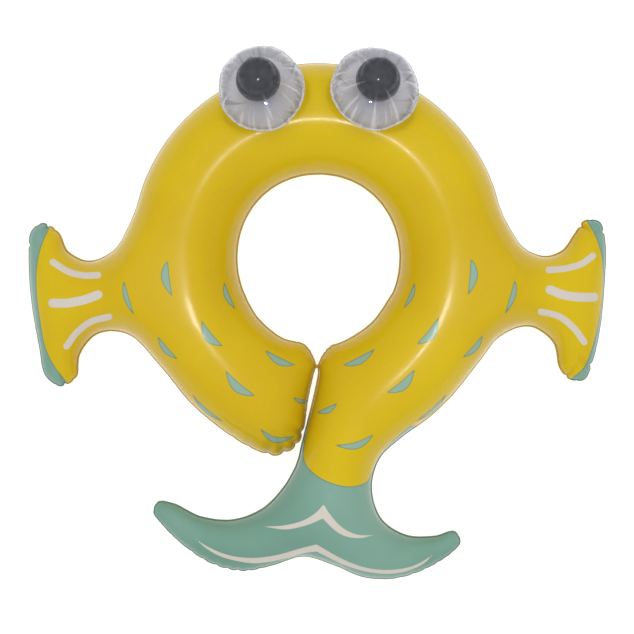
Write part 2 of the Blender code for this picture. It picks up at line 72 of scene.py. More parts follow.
RING_END_RIGHT = [(92, 22), (68, -12), (34, -35), (13, -43.5), (3.4, -57.2), (-0.5, -67),
                  (-0.6, -77.5), (-6.3, -106), (-13.2, -134.5), (-20.6, -163)]
TAIL_LEFT_FLUKE = [(-28, -192), (-46, -223.5), (-72, -249), (-109, -262.5), (-150, -258),
                   (-182, -242.5), (-203, -239.5), (-209.5, -253), (-196, -272), (-167, -299),
                   (-133, -320), (-95, -328.5), (-57, -321), (-19, -310)]
TAIL_RIGHT_FLUKE = [(20, -321), (57, -336), (96, -338), (135, -326.5), (170, -305),
                    (181.3, -291), (173, -277), (149, -283), (112, -282), (81, -262),
                    (68.5, -224), (78, -186), (107, -158)]
FIN_RIGHT = [(139, -135), (169, -107), (206, -61), (231, -30.5), (268, -18), (298, -38),
             (306, -70), (318, -84.5), (338, -85.5), (348.5, -63), (358, -22), (364, 36),
             (365, 88), (358, 115), (338, 117), (325, 100), (310, 79.5), (288, 72), (262, 82),
             (240.5, 113)]
FIN_LEFT = [(-239, 114), (-259, 80), (-290, 66), (-317, 78), (-329, 102), (-349, 114),
            (-364.5, 103), (-367.6, 63), (-364, 12), (-354.5, -43), (-346.5, -80), (-327, -94),
            (-306.5, -82), (-302, -53), (-279, -27), (-241, -28), (-199, -70), (-161, -116),
            (-115, -154)]
RING_END_LEFT = [(-80, -174.5), (-53, -182), (-26.5, -169), (-17.2, -145), (-12.6, -112), (-5.4, -79),
                 (-2.3, -67.5), (-4.8, -58), (-16, -40.5), (-45, -32), (-77, -5)]

# scale marks: tip, tip, sagitta of the full side, sagitta of the slack side, skew
SCALES = [
    (-246.3, 40.1, -233.4, -3.9, -6.6, -0.2, 0.85), (-191.0, 65.9, -185.3, 20.7, -10.8, -0.6, 0.88),
    (-118.7, 38.7, -104.6, 3.8, -7.2, -0.4, 0.9), (-148.2, -9.8, -121.2, -42.4, -12.4, -0.9, 1.12),
    (-203.7, -30.1, -178.4, -58.9, -7.4, -0.3, 1.0), (-68.1, -47.2, -29.2, -66.5, -9.6, -0.3, 1.12),
    (-117.5, -73.5, -79.5, -105.7, -12.6, -1.2, 1.05), (-159.9, -103.8, -119.5, -138.8, -6.6, -2, 1.0),
    (-32.3, -107.7, -10.9, -112.0, -5.6, 0, 1.05), (-74.0, -146.7, -28.4, -155.7, -14.6, -7.2, 0.95),
    (193.9, 68.2, 190.1, 22.2, 10.6, 0.6, 0.88), (249.7, 41.3, 237.0, -2.3, 7, 0.2, 0.85),
    (122.0, 38.2, 108.2, 5.0, 6.2, 0.4, 0.9), (153.2, -5.5, 125.2, -40.0, 12, 0.9, 1.12),
    (209.0, -28.6, 183.5, -57.1, 7.4, 0.3, 1.0), (73.0, -45.6, 31.0, -66.9, 9.2, 0.3, 1.12),
    (122.8, -71.5, 86.9, -101.9, 12.2, 1.2, 1.05), (164.1, -101.9, 124.0, -137.8, 6.4, 2, 1.0),
    (24.4, -114.8, -2.3, -126.9, 7.2, 0, 1.0), (70.6, -154.3, 21.5, -168.3, 12.4, 3.6, 0.95),
]
# fin strokes: points and half width
STROKES = [
    ([(-337, 64), (-316, 51.5), (-296, 47), (-279.5, 47.5)], 4.1),
    ([(-337, 12), (-318.5, 12), (-296, 16.5), (-279.5, 22.5)], 5.6),
    ([(-319.5, -43), (-306, -25), (-288, -11.5), (-265.5, -5.5)], 4.1),
    ([(293, 54), (314, 56), (335, 62), (349, 72)], 4.1),
    ([(294.5, 29), (311.5, 22.5), (332, 19.5), (350.5, 19.5)], 5.6),
    ([(283, 1), (306, -5), (324.5, -19.5), (338, -37.5)], 4.1),
]
FIN_BAND_LEFT = [(-337.5, 115), (-341, 108), (-352, 83), (-357.5, 55), (-357.5, 25), (-353.5, -7.5),
                 (-346, -45.5), (-333.5, -70.5), (-318.5, -89.5), (-314, -98)]
FIN_BAND_RIGHT = [(337, 125), (342.5, 114), (351.5, 98.5), (359.5, 75), (362, 52), (360.5, 21),
                  (356.5, -10.5), (347.5, -46.5), (337.5, -70), (322, -84), (313, -93)]
TAIL_EDGE = [(-6.5, -105), (-9, -117.5), (-11.8, -132), (-15.2, -153), (-18, -172), (-17.5, -188.5),
             (-8.5, -201.5), (10.5, -214), (35.5, -221), (52, -219.5), (63, -214), (69.5, -200),
             (76, -186), (86, -172), (99, -159.5), (117, -144)]
TAIL_FAR = [(220, -145), (220, -370), (-250, -370), (-250, -200), (-100, -214), (-42, -200),
            (-32, -186), (-21, -160), (-14, -134), (-8, -104)]
CHEVRON_UPPER = [[(-68.5, -272), (-42, -270.2), (-17.5, -263.5), (-1.5, -253), (7, -243.5)],
                 [(7, -243.5), (14.5, -255.5), (30.5, -273), (49, -282), (71, -283)],
                 [(71, -283), (52, -286.5), (33, -283.5), (20, -275.5), (6, -261.5)],
                 [(6, -261.5), (-7.5, -267.5), (-23, -272.5), (-42, -275.5), (-68.5, -272)]]
CHEVRON_LOWER = [[(-159.5, -283.5), (-143.5, -295.5), (-119.5, -306.5), (-98, -311), (-76.5, -311.5),
                  (-50, -307.5), (-23, -299.8), (-2, -294.5)],
                 [(-2, -294.5), (9, -301), (30.5, -313), (54.5, -322.5), (76, -326.5), (97.5, -326.5),
                  (118.5, -322.5), (134.5, -315), (148, -305.5)],
                 [(148, -305.5), (134.5, -318.5), (118.5, -326.5), (100, -331), (78.5, -331.5),
                  (54.5, -327.5), (30.5, -319.5), (12, -310.5), (-2, -303.5)],
                 [(-2, -303.5), (-17.5, -305.5), (-39, -311.5), (-60.5, -316.5), (-82, -318.5),
                  (-103.5, -315.5), (-124.5, -309.5), (-143.5, -298.5), (-159.5, -283.5)]]

# deep puckers in the seam: plan position, depth, half width along the seam, reach inwards
PUCKERS = [
    (-20.5, -151.3, 2.6, 6.5, 15), (-27.2, -167.5, 3.2, 7.5, 17), (-41.8, -179.5, 3.2, 8.5, 18),
    (-64.5, -180.0, 2.8, 8.5, 17), (-88.5, -169.5, 1.0, 8.0, 12), (-108, -157, 0.8, 8.0, 10),
    (-340.5, 112.5, 3.4, 5.0, 18),
    (-332, 106, 1.2, 5.0, 10), (-366.4, 85.7, 2.4, 5.5, 14), (-355, 111, 1.0, 5.0, 10),
    (-320.8, -92.5, 3.2, 5.0, 18), (-333, -92.5, 0.8, 5.0, 10), (-309, -86, 1.0, 5.0, 9),
    (331.5, 110.0, 3.4, 5.0, 18), (362.5, 102, 2.6, 5.0, 14), (345, 117.5, 0.9, 5.0, 10),
    (313.0, -80.5, 2.6, 5.0, 15), (347.0, -67, 2.8, 5.0, 16), (329, -87, 0.9, 5.0, 9),
    (-129.7, -320.8, 1.5, 6.5, 13), (-115.7, -326.0, 1.7, 6.5, 14), (-101.5, -328.5, 1.7, 6.5, 14),
    (-88.5, -328.2, 1.4, 6.0, 13), (-74, -325, 0.9, 6.5, 11), (-146, -313, 1.0, 7, 11),
    (-160, -303, 0.8, 7, 10), (120, -331.7, 0.9, 7, 11), (136, -326, 0.9, 7, 11),
    (152, -317, 0.9, 7, 10), (104, -336.5, 0.7, 7, 10),
]
# rows of small puckers: centre of the stretch, its half length, depth, spacing
SMALL_PUCKERS = [
    (-9.5, -98, 44, 0.62, 9.5), (-9, -50, 9, 1.3, 8.5), (-20, -39, 14, 0.9, 9.0),
    (6.5, -52, 8, 1.2, 8.0), (14, -43, 14, 1.4, 8.5), (36, -34, 16, 0.6, 10),
    (-3.5, -92, 18, 0.4, 9), (-130, -142, 46, 0.5, 12.5), (-160, -116, 30, 0.35, 13),
    (-208, -252, 26, 0.7, 9.5), (180, -291, 22, 0.7, 9.5), (-185, -281, 34, 0.5, 12),
    (-366, 40, 60, 0.35, 17), (-358, -25, 50, 0.3, 16), (364, 40, 70, 0.35, 17),
    (357, -30, 50, 0.35, 16), (160, -308, 30, 0.6, 12),
]


# ================================================================ plan geometry
def ring_arc():
    a = np.radians(np.linspace(13.5, 166.5, 24))
    return np.c_[RING_CENTRE[0] + RING_RADIUS * np.cos(a), RING_CENTRE[1] + RING_RADIUS * np.sin(a)]


def hole_arc():
    a = np.radians(np.linspace(204, -24, 26))
    c, s = np.cos(a), np.sin(a)
    r = (np.abs(c) ** HOLE_POWER + np.abs(s) ** HOLE_POWER) ** (-1 / HOLE_POWER)
    return np.c_[HOLE_CENTRE[0] + HOLE_RX * r * c, HOLE_CENTRE[1] + HOLE_RY * r * s]


def smooth_curve(pts, closed=True, n=12):
    """Centripetal Catmull-Rom curve through points."""
    pts = np.array(pts, float)
    if not closed:
        pts = np.vstack([2 * pts[0] - pts[1], pts, 2 * pts[-1] - pts[-2]])
    out, count = [], len(pts)
    span = range(count) if closed else range(1, count - 2)
    for i in span:
        p0, p1, p2, p3 = pts[i - 1], pts[i], pts[(i + 1) % count], pts[(i + 2) % count]
        t1 = math.dist(p0, p1) ** 0.5
        t2 = t1 + math.dist(p1, p2) ** 0.5
        t3 = t2 + math.dist(p2, p3) ** 0.5
        t = np.linspace(t1, t2, n, endpoint=False)[:, None]
        a1 = (t1 - t) / t1 * p0 + t / t1 * p1
        a2 = (t2 - t) / (t2 - t1) * p1 + (t - t1) / (t2 - t1) * p2
        a3 = (t3 - t) / (t3 - t2) * p2 + (t - t2) / (t3 - t2) * p3
        b1 = (t2 - t) / t2 * a1 + t / t2 * a2
        b2 = (t3 - t) / (t3 - t1) * a2 + (t - t1) / (t3 - t1) * a3
        out.append((t2 - t) / (t2 - t1) * b1 + (t - t1) / (t2 - t1) * b2)
    if not closed:
        out.append(pts[-2][None, :])
    return np.vstack(out)


def resample(curve, step):
    """Evenly spaced points along a closed curve."""
    ext = np.vstack([curve, curve[:1]])
    s = np.r_[0, np.cumsum(np.hypot(*np.diff(ext, axis=0).T))]
    n = int(round(s[-1] / step))
    q = np.arange(n) * s[-1] / n
    return np.c_[np.interp(q, s, ext[:, 0]), np.interp(q, s, ext[:, 1])], s[-1] / n


def inside(p, loop):
    x, y = p[:, 0], p[:, 1]
    res = np.zeros(len(p), bool)
    nxt = np.roll(loop, -1, axis=0)
    for (x0, y0), (x1, y1) in zip(loop.tolist(), nxt.tolist()):
        if y0 != y1:
            idx = np.nonzero((y0 > y) != (y1 > y))[0]
            hit = x[idx] < (x1 - x0) * (y[idx] - y0) / (y1 - y0) + x0
            res[idx[hit]] ^= True
    return res


def segment_distance(p, a, b):
    ab = b - a
    best = np.full(len(p), 1e9)
    for i in range(len(a)):
        ap = p - a[i]
        t = np.clip((ap @ ab[i]) / max(ab[i] @ ab[i], 1e-9), 0, 1)
        best = np.minimum(best, np.hypot(*(ap - t[:, None] * ab[i]).T))
    return best


def near_only(p, pts, margin, func):
    """func on the points near a shape only; elsewhere a plain far value."""
    out = np.full(len(p), -margin)
    lo, hi = pts.min(0) - margin, pts.max(0) + margin
    m = ((p > lo) & (p < hi)).all(1)
    if m.any():
        out[m] = np.maximum(func(p[m]), -margin)
    return out


def polygon_field(p, loop, margin=14.0):
    def field(q):
        d = segment_distance(q, loop, np.roll(loop, -1, axis=0))
        return np.where(inside(q, loop), d, -d)
    return near_only(p, loop, margin, field)


def stroke_field(p, line, half, margin=14.0):
    return near_only(p, line, margin, lambda q: half - segment_distance(q, line[:-1], line[1:]))


def scale_mark(ax, ay, bx, by, full, slack, skew):
    a, b = np.array([ax, ay]), np.array([bx, by])
    d = (b - a) / np.hypot(*(b - a))
    n = np.array([-d[1], d[0]])
    t = np.linspace(0, 1, 26)[:, None]
    bow = np.sin(math.pi * t ** skew) ** 0.92
    full_side = a + (b - a) * t + n * full * bow
    slack_side = a + (b - a) * t + n * slack * np.sin(math.pi * t)
    return np.vstack([full_side, slack_side[::-1][1:-1]])


def print_fields(p):
    """Signed distances (mm, positive inside) to the green print, to its scale marks alone and to
    the pale print."""
    green = np.full(len(p), -14.0)
    for mark in SCALES:
        green = np.maximum(green, polygon_field(p, scale_mark(*mark)))
    scales = green.copy()
    band = smooth_curve(FIN_BAND_LEFT, closed=False, n=6)
    green = np.maximum(green, polygon_field(p, np.vstack([band, [(-400, -98), (-400, 115)]])))
    band = smooth_curve(FIN_BAND_RIGHT, closed=False, n=6)
    green = np.maximum(green, polygon_field(p, np.vstack([band, [(400, -93), (400, 125)]])))
    edge = smooth_curve(TAIL_EDGE, closed=False, n=6)
    green = np.maximum(green, polygon_field(p, np.vstack([edge, TAIL_FAR])))
    pale = np.full(len(p), -14.0)
    for line, half in STROKES:
        pale = np.maximum(pale, stroke_field(p, smooth_curve(line, closed=False, n=7), half))
    for sides in (CHEVRON_UPPER, CHEVRON_LOWER):
        loop = np.vstack([smooth_curve(side, closed=False, n=4)[:-1] for side in sides])
        pale = np.maximum(pale, polygon_field(p, loop))
    return green, scales, pale


OUTLINE, STEP = resample(smooth_curve(np.vstack([
    RING_END_RIGHT, TAIL_LEFT_FLUKE, TAIL_RIGHT_FLUKE, FIN_RIGHT, ring_arc(), FIN_LEFT,
    RING_END_LEFT, hole_arc()])), 1.5)
COUNT = len(OUTLINE)
PERIMETER = COUNT * STEP
_t = np.roll(OUTLINE, -1, axis=0) - np.roll(OUTLINE, 1, axis=0)
_t /= np.hypot(*_t.T)[:, None]
INWARD = np.c_[-_t[:, 1], _t[:, 0]]
if np.sum(OUTLINE[:, 0] * np.roll(OUTLINE[:, 1], -1) - np.roll(OUTLINE[:, 0], -1) * OUTLINE[:, 1]) < 0:
    INWARD = -INWARD
TREE = KDTree(COUNT)
for _i, _p in enumerate(OUTLINE):
    TREE.insert((_p[0], _p[1], 0), _i)
TREE.balance()


def seam_place(p):
    """Seam position (mm along it) and distance from it, of plan points."""
    s, d = np.empty(len(p)), np.empty(len(p))
    for k, (x, y) in enumerate(p.tolist()):
        co, i, dist = TREE.find((x, y, 0))
        best, at = dist, 0.0
        for j, sign in ((i - 1, -1.0), ((i + 1) % COUNT, 1.0)):
            ax, ay = OUTLINE[i]
            bx, by = OUTLINE[j]
            ux, uy = bx - ax, by - ay
            t = ((x - ax) * ux + (y - ay) * uy) / (ux * ux + uy * uy)
            if 0 < t <= 1:
                e = math.hypot(x - ax - t * ux, y - ay - t * uy)
                if e < best:
                    best, at = e, t * sign
        s[k], d[k] = (i + at) * STEP % PERIMETER, best
    return s, d


def wrap(ds):
    return (ds + PERIMETER / 2) % PERIMETER - PERIMETER / 2


_rng = np.random.default_rng(11)
PUCKER_S = []
for _x, _y, _depth, _half, _reach in PUCKERS:
    _, _i, _ = TREE.find((_x, _y, 0))
    PUCKER_S.append((_i * STEP, _depth, _half, _reach))
SMALL_S = []
for _x, _y, _length, _depth, _gap in SMALL_PUCKERS:
    _, _i, _ = TREE.find((_x, _y, 0))
    _n = int(_length / _gap)
    for _k in range(-_n, _n + 1):
        _fade = 1 - (abs(_k) / (_n + 1)) ** 3
        SMALL_S.append((_i * STEP + _k * _gap + _rng.uniform(-0.24, 0.24) * _gap,
                        _depth * _fade * _rng.uniform(0.45, 1.1), _gap * _rng.uniform(0.36, 0.5),
                        _gap * _rng.uniform(0.75, 1.15)))
# the rest of the seam is never quite even
_at = 0.0
while _at < PERIMETER:
    _gap = _rng.uniform(13, 26)
    SMALL_S.append((_at, _rng.uniform(0.08, 0.26), _gap * 0.42, _gap * 0.7))
    _at += _gap


def pucker_fields(s, d):
    """Depth of the puckers at the seam (mm) and of the valleys they leave (share of height)."""
    cusp, valley = np.zeros(len(s)), np.zeros(len(s))
    for at, depth, half, reach in PUCKER_S + SMALL_S:
        ds = np.abs(wrap(s - at))
        near = (ds < half * 3) & (d < reach * 3.2)
        if not near.any():
            continue
        u, v = ds[near], d[near]
        a = np.clip(1 - u / half, 0, 1)
        cusp[near] = np.maximum(cusp[near], depth * a ** 1.7 * np.exp(-(v / 6.5) ** 2))
        wide = half * (0.55 + v / reach * 0.55)
        b = np.clip(1 - u / (wide * 1.6), 0, 1)
        b = b * b * (3 - 2 * b)
        valley[near] += min(depth / 3.0, 1.0) * 0.34 * b * np.exp(-(v / reach) ** 1.3)
    return cusp, np.minimum(valley, 0.5)


# ================================================================ inflation
def membrane(v, tris, fixed):
    """Poisson's equation on the triangles, zero at the fixed points, by conjugate gradients."""
    n = len(v)
    p = v[tris]
    e1, e2 = p[:, 1] - p[:, 0], p[:, 2] - p[:, 0]
    area2 = np.abs(e1[:, 0] * e2[:, 1] - e1[:, 1] * e2[:, 0])
    g = np.empty((len(tris), 3, 2))
    for i in range(3):
        j, k = (i + 1) % 3, (i + 2) % 3
        g[:, i, 0] = p[:, j, 1] - p[:, k, 1]
        g[:, i, 1] = p[:, k, 0] - p[:, j, 0]
    load = np.bincount(tris.ravel(), weights=np.repeat(area2 / 6, 3), minlength=n)
    rows, cols, vals = [], [], []
    for i in range(3):
        for j in range(3):
            rows.append(tris[:, i])
            cols.append(tris[:, j])
            vals.append((g[:, i] * g[:, j]).sum(1) / (2 * area2))
    rows, cols, vals = np.concatenate(rows), np.concatenate(cols), np.concatenate(vals)
    free = ~fixed
    keep = free[rows] & free[cols]
    number = np.cumsum(free) - 1
    m = int(free.sum())
    key = number[rows[keep]].astype(np.int64) * m + number[cols[keep]]
    key, back = np.unique(key, return_inverse=True)
    val = np.bincount(back, weights=vals[keep])
    row, col = key // m, key % m
    starts = np.searchsorted(row, np.arange(m))
    diag = np.bincount(row[row == col], weights=val[row == col], minlength=m)
    b = load[free]
    x = np.zeros(m)
    r = b.copy()
    z = r / diag
    q = z.copy()
    rz = r @ z
    for _ in range(2500):
        aq = np.add.reduceat(val * q[col], starts)
        alpha = rz / (q @ aq)
        x += alpha * q
        r -= alpha * aq
        z = r / diag
        new = r @ z
        if new < 1e-12 * (b @ (b / diag)):
            break
        q = z + new / rz * q
        rz = new
    u = np.zeros(n)
    u[free] = x
    return u


def crest_skew(p):
    """A ring welded from flat sheet stands fuller towards its outer seam, and is drawn in along
    the hole. The share dies out in the fins and the tail."""
    rho = np.hypot(p[:, 0] - HOLE_CENTRE[0], p[:, 1] - HOLE_CENTRE[1])
    fade = np.clip((300 - rho) / 78, 0, 1)
    fade = fade * fade * (3 - 2 * fade)
    return 1 + CREST_SKEW * (np.clip(rho, 100, 240) - 171) * fade


def film_mesh(spacing, refine=None):
    """Triangulated plan of the body with graded rows along the seam, and its film height."""
    rows = [OUTLINE, OUTLINE + INWARD * WELD]
    extra = []
    for depth, gap in ((2.1, 1), (3.0, 1), (4.3, 1)):
        row = OUTLINE + INWARD * depth
        _, d = seam_place(row)
        extra.append(row[d > depth * 0.93][::gap])
    lo, hi = OUTLINE.min(0), OUTLINE.max(0)
    high = spacing * math.sqrt(3) / 2
    jj, ii = np.meshgrid(np.arange(int((hi[1] - lo[1]) / high) + 1),
                         np.arange(int((hi[0] - lo[0]) / spacing) + 1), indexing="ij")
    grid = np.c_[(lo[0] + (ii + 0.5 * (jj % 2)) * spacing).ravel(), (lo[1] + jj * high).ravel()]
    grid = grid[inside(grid, OUTLINE)]
    s, d = seam_place(grid)
    grid = grid[d > 4.3 + spacing * 0.55]
    pts = np.vstack(rows + extra + [grid])
    if refine is not None:
        pts = np.vstack([pts, refine(grid)])
    edges = [(i, (i + 1) % COUNT) for i in range(COUNT)]
    edges += [(COUNT + i, COUNT + (i + 1) % COUNT) for i in range(COUNT)]
    out, _, faces, _, _, _ = delaunay_2d_cdt([Vector(p) for p in pts.tolist()], edges, [], 1, 1e-5)
    v = np.array([(p.x, p.y) for p in out])
    tris = np.array([f for f in faces if len(f) == 3])
    mid = v[tris].mean(1)
    tris = tris[inside(mid, OUTLINE)]
    used = np.unique(tris)
    remap = np.full(len(v), -1)
    remap[used] = np.arange(len(used))
    v, tris = v[used], remap[tris]
    s, d = seam_place(v)
    u = membrane(v, tris, d < WELD + 0.02)
    h = np.sqrt(2 * np.maximum(u, 0))
    h = h * crest_skew(v)
    h = np.where(h > CREST_SOFT, CREST_SOFT + CREST_SPAN * np.tanh((h - CREST_SOFT) / CREST_SPAN), h)
    cusp, valley = pucker_fields(s, d)
    i0 = (s / STEP).astype(int) % COUNT
    f = (s / STEP - np.floor(s / STEP))[:, None]
    n = INWARD[i0] * (1 - f) + INWARD[(i0 + 1) % COUNT] * f
    n /= np.hypot(*n.T)[:, None]
    moved = v + n * cusp[:, None]
    h = h * (1 - valley)
    # the film is welded from flat sheet, so its crest wanders a little
    wave = (np.sin(v[:, 0] / 61 + 1.3) * np.sin(v[:, 1] / 53 + 0.4)
            + 0.6 * np.sin((v[:, 0] + v[:, 1]) / 37 + 2.1) * np.sin((v[:, 0] - v[:, 1]) / 43 + 0.7))
    h = h * (1 + 0.0035 * wave)
    return moved, tris, h, s, d, valley


def build_film(name, v, tris, z, d, up, fields):
    """One film as a mesh: the inflated sheet, and its thin cut edge down to the seam plane."""
    e1, e2 = v[tris[:, 1]] - v[tris[:, 0]], v[tris[:, 2]] - v[tris[:, 0]]
    area = e1[:, 0] * e2[:, 1] - e1[:, 1] * e2[:, 0]
    tris = np.where((area * up > 0)[:, None], tris, tris[:, ::-1])
    e = np.vstack([tris[:, [0, 1]], tris[:, [1, 2]], tris[:, [2, 0]]])
    key = np.sort(e, axis=1)
    _, first, counts = np.unique(key, axis=0, return_index=True, return_counts=True)
    rim = e[first[counts == 1]]
    rim = rim[(d[rim] < 0.6).all(1)]
    ring = np.unique(rim)
    low = np.full(len(v), -1)
    low[ring] = len(v) + np.arange(len(ring))
    co = np.c_[v + SHIFT, z]
    co = np.vstack([co, np.c_[v[ring] + SHIFT, np.full(len(ring), SEAM_Z)]]) * MM
    quads = np.c_[rim[:, 1], rim[:, 0], low[rim[:, 0]], low[rim[:, 1]]]
    mesh = bpy.data.meshes.new(name)
    mesh.from_pydata(co.tolist(), [], tris.tolist() + quads.tolist())
    mesh.shade_smooth()
    for key, values in fields.items():
        attribute = mesh.attributes.new(key, "FLOAT", "POINT")
        attribute.data.foreach_set("value", np.r_[values, values[ring]].astype(np.float32))
    mesh.validate()
    mesh.set_sharp_from_angle(angle=math.radians(58))
    obj = bpy.data.objects.new(name, mesh)
    bpy.context.scene.collection.objects.link(obj)
    return obj


# ================================================================ placements
def joint(name):
    return next(j for j in frame["joints"] if j["name"] == name)


def local_frame(origin, z, along):
    z = Vector(z).normalized()
    x = (Vector(along) - z * z.dot(Vector(along))).normalized()
    rot = Matrix((x, z.cross(x), z)).transposed()
    return Matrix.Translation(Vector(origin)) @ rot.to_4x4()


def node_points(node):
    return np.array([v.co for v in frame["nodes"][node].data.vertices], float)


EYES, EYE_VALVES = {}, {}
for side, sign in (("left", -1), ("right", 1)):
    roll = joint("%s_ball_roll" % side)
    EYES[side] = local_frame(roll["pos_m"], roll["axis"], (sign * 0.337, 0.941, 0))
    axis = Vector(joint("%s_eye_plug_pull" % side)["axis"]).normalized()
    pts = node_points("eye_%s_valve_plug" % side)
    mid = Vector(pts.mean(0))
    top = float((pts @ np.array(axis)).max())
    origin = mid + axis * (top - 3.9 * MM - mid.dot(axis))
    EYE_VALVES[side] = local_frame(origin, axis, EYES[side].to_3x3() @ Vector((-1, 0, 0)))
axis = Vector(joint("main_plug_pull")["axis"]).normalized()
pts = node_points("valve_plug")
mid = Vector(pts.mean(0))
origin = mid + axis * (float((pts @ np.array(axis)).max()) - 3.4 * MM - mid.dot(axis))
MAIN_VALVE = local_frame(origin, axis, (0, 0, 1))


# ================================================================ materials
def node(tree, kind, at=(0, 0), **values):
    made = tree.nodes.new(kind)
    made.location = at
    for key, value in values.items():
        setattr(made, key, value)
    return made


def new_material(name, base, rough, **sockets):
    mat = bpy.data.materials.new(name)
    mat.use_nodes = True
    shader = mat.node_tree.nodes["Principled BSDF"]
    shader.inputs["Base Color"].default_value = (*base, 1)
    shader.inputs["Roughness"].default_value = rough
    for key, value in sockets.items():
        shader.inputs[key.replace("_", " ")].default_value = value
    return mat, mat.node_tree, shader


def ramp(tree, value, low, high, to_low=0.0, to_high=1.0, smooth=True):
    r = node(tree, "ShaderNodeMapRange")
    r.interpolation_type = "SMOOTHSTEP" if smooth else "LINEAR"
    tree.links.new(value, r.inputs["Value"])
    r.inputs["From Min"].default_value = low
    r.inputs["From Max"].default_value = high
    r.inputs["To Min"].default_value = to_low
    r.inputs["To Max"].default_value = to_high
    return r.outputs["Result"]


def math_node(tree, kind, a, b=None, clamp=False):
    m = node(tree, "ShaderNodeMath", operation=kind, use_clamp=clamp)
    for k, value in enumerate((a, b)):
        if value is None:
            continue
        if isinstance(value, (int, float)):
            m.inputs[k].default_value = value
        else:
            tree.links.new(value, m.inputs[k])
    return m.outputs[0]


def mix(tree, factor, a, b, kind="MIX"):
    m = node(tree, "ShaderNodeMix", data_type="RGBA", blend_type=kind)
    for socket, value in ((m.inputs[0], factor), (m.inputs[6], a), (m.inputs[7], b)):
        if isinstance(value, (int, float)):
            socket.default_value = value
        elif isinstance(value, tuple):
            socket.default_value = (*value, 1)
        else:
            tree.links.new(value, socket)
    return m.outputs[2]


def noise(tree, scale, detail=2.0, roughness=0.5, stretch=None):
    coord = node(tree, "ShaderNodeTexCoord")
    source = coord.outputs["Object"]
    if stretch is not None:
        mapping = node(tree, "ShaderNodeMapping")
        mapping.inputs["Scale"].default_value = stretch
        tree.links.new(source, mapping.inputs["Vector"])
        source = mapping.outputs["Vector"]
    tex = node(tree, "ShaderNodeTexNoise")
    tex.inputs["Scale"].default_value = scale
    tex.inputs["Detail"].default_value = detail
    tex.inputs["Roughness"].default_value = roughness
    tree.links.new(source, tex.inputs["Vector"])
    return tex.outputs["Fac"]


def bump(tree, shader, height, strength, distance, also=()):
    b = node(tree, "ShaderNodeBump")
    b.inputs["Strength"].default_value = strength
    b.inputs["Distance"].default_value = distance
    tree.links.new(height, b.inputs["Height"])
    tree.links.new(b.outputs["Normal"], shader.inputs["Normal"])
    for socket in also:
        tree.links.new(b.outputs["Normal"], shader.inputs[socket])
    return b


def attribute(tree, name):
    a = node(tree, "ShaderNodeAttribute", attribute_name=name)
    return a.outputs["Fac"]


YELLOW, YELLOW_DEEP = (0.690, 0.490, 0.0080), (0.635, 0.424, 0.0070)
GREEN, GREEN_DEEP = (0.226, 0.400, 0.326), (0.164, 0.330, 0.262)
SCALE_GREEN = (0.300, 0.445, 0.335)
GREEN_LINE = (0.085, 0.190, 0.105)
PALE = (0.655, 0.600, 0.525)


def printed_film(name):
    mat, tree, shader = new_material(name, YELLOW, 0.22, Specular_IOR_Level=0.14,
                                     Coat_Weight=0.06, Coat_Roughness=0.07)
    soft = noise(tree, 5.5, 3.0)
    fine = noise(tree, 210.0, 2.0)
    yellow = mix(tree, ramp(tree, soft, 0.30, 0.70), YELLOW_DEEP, YELLOW)
    green = mix(tree, ramp(tree, soft, 0.30, 0.70), GREEN_DEEP, GREEN)
    on_scale = math_node(tree, "MULTIPLY", ramp(tree, attribute(tree, "scale_print"), -0.6, 0.2), 0.8)
    green = mix(tree, on_scale, green, SCALE_GREEN)
    field = attribute(tree, "green_print")
    on_green = ramp(tree, field, -0.28, 0.28)
    colour = mix(tree, on_green, yellow, green)
    line = math_node(tree, "ABSOLUTE", math_node(tree, "SUBTRACT", field, 0.25))
    on_line = math_node(tree, "MULTIPLY", ramp(tree, line, 0.25, 0.85, 1.0, 0.0), 0.62)
    colour = mix(tree, on_line, colour, GREEN_LINE)
    on_pale = ramp(tree, attribute(tree, "pale_print"), -0.3, 0.3)
    colour = mix(tree, on_pale, colour, PALE)
    # ink lies a little unevenly, and the weld looks darker; the valleys the puckers leave are darkened as painted
    # shade
    colour = mix(tree, ramp(tree, fine, 0.35, 0.75, 0.0, 0.045), colour, (0.30, 0.23, 0.05))
    seam = attribute(tree, "seam_distance")
    weld = ramp(tree, seam, 1.3, 3.2, 0.50, 0.0)
    colour = mix(tree, weld, colour, (0.56, 0.44, 0.26), kind="MULTIPLY")
    # painted shade: darker where the puckers leave valleys in the film
    valley = math_node(tree, "MULTIPLY", attribute(tree, "valley"), 0.55, clamp=True)
    colour = mix(tree, valley, colour, (0.48, 0.33, 0.06), kind="MULTIPLY")
    tree.links.new(colour, shader.inputs["Base Color"])
    rough = math_node(tree, "ADD", ramp(tree, noise(tree, 26.0, 3.0), 0.3, 0.7, 0.17, 0.24),
                      ramp(tree, seam, 0.8, 2.2, 0.16, 0.0))
    tree.links.new(rough, shader.inputs["Roughness"])
    bump(tree, shader, math_node(tree, "ADD", math_node(tree, "MULTIPLY", fine, 0.12),
                                 noise(tree, 34.0, 2.0)), 0.10, 0.0006, also=("Coat Normal",))
    return mat


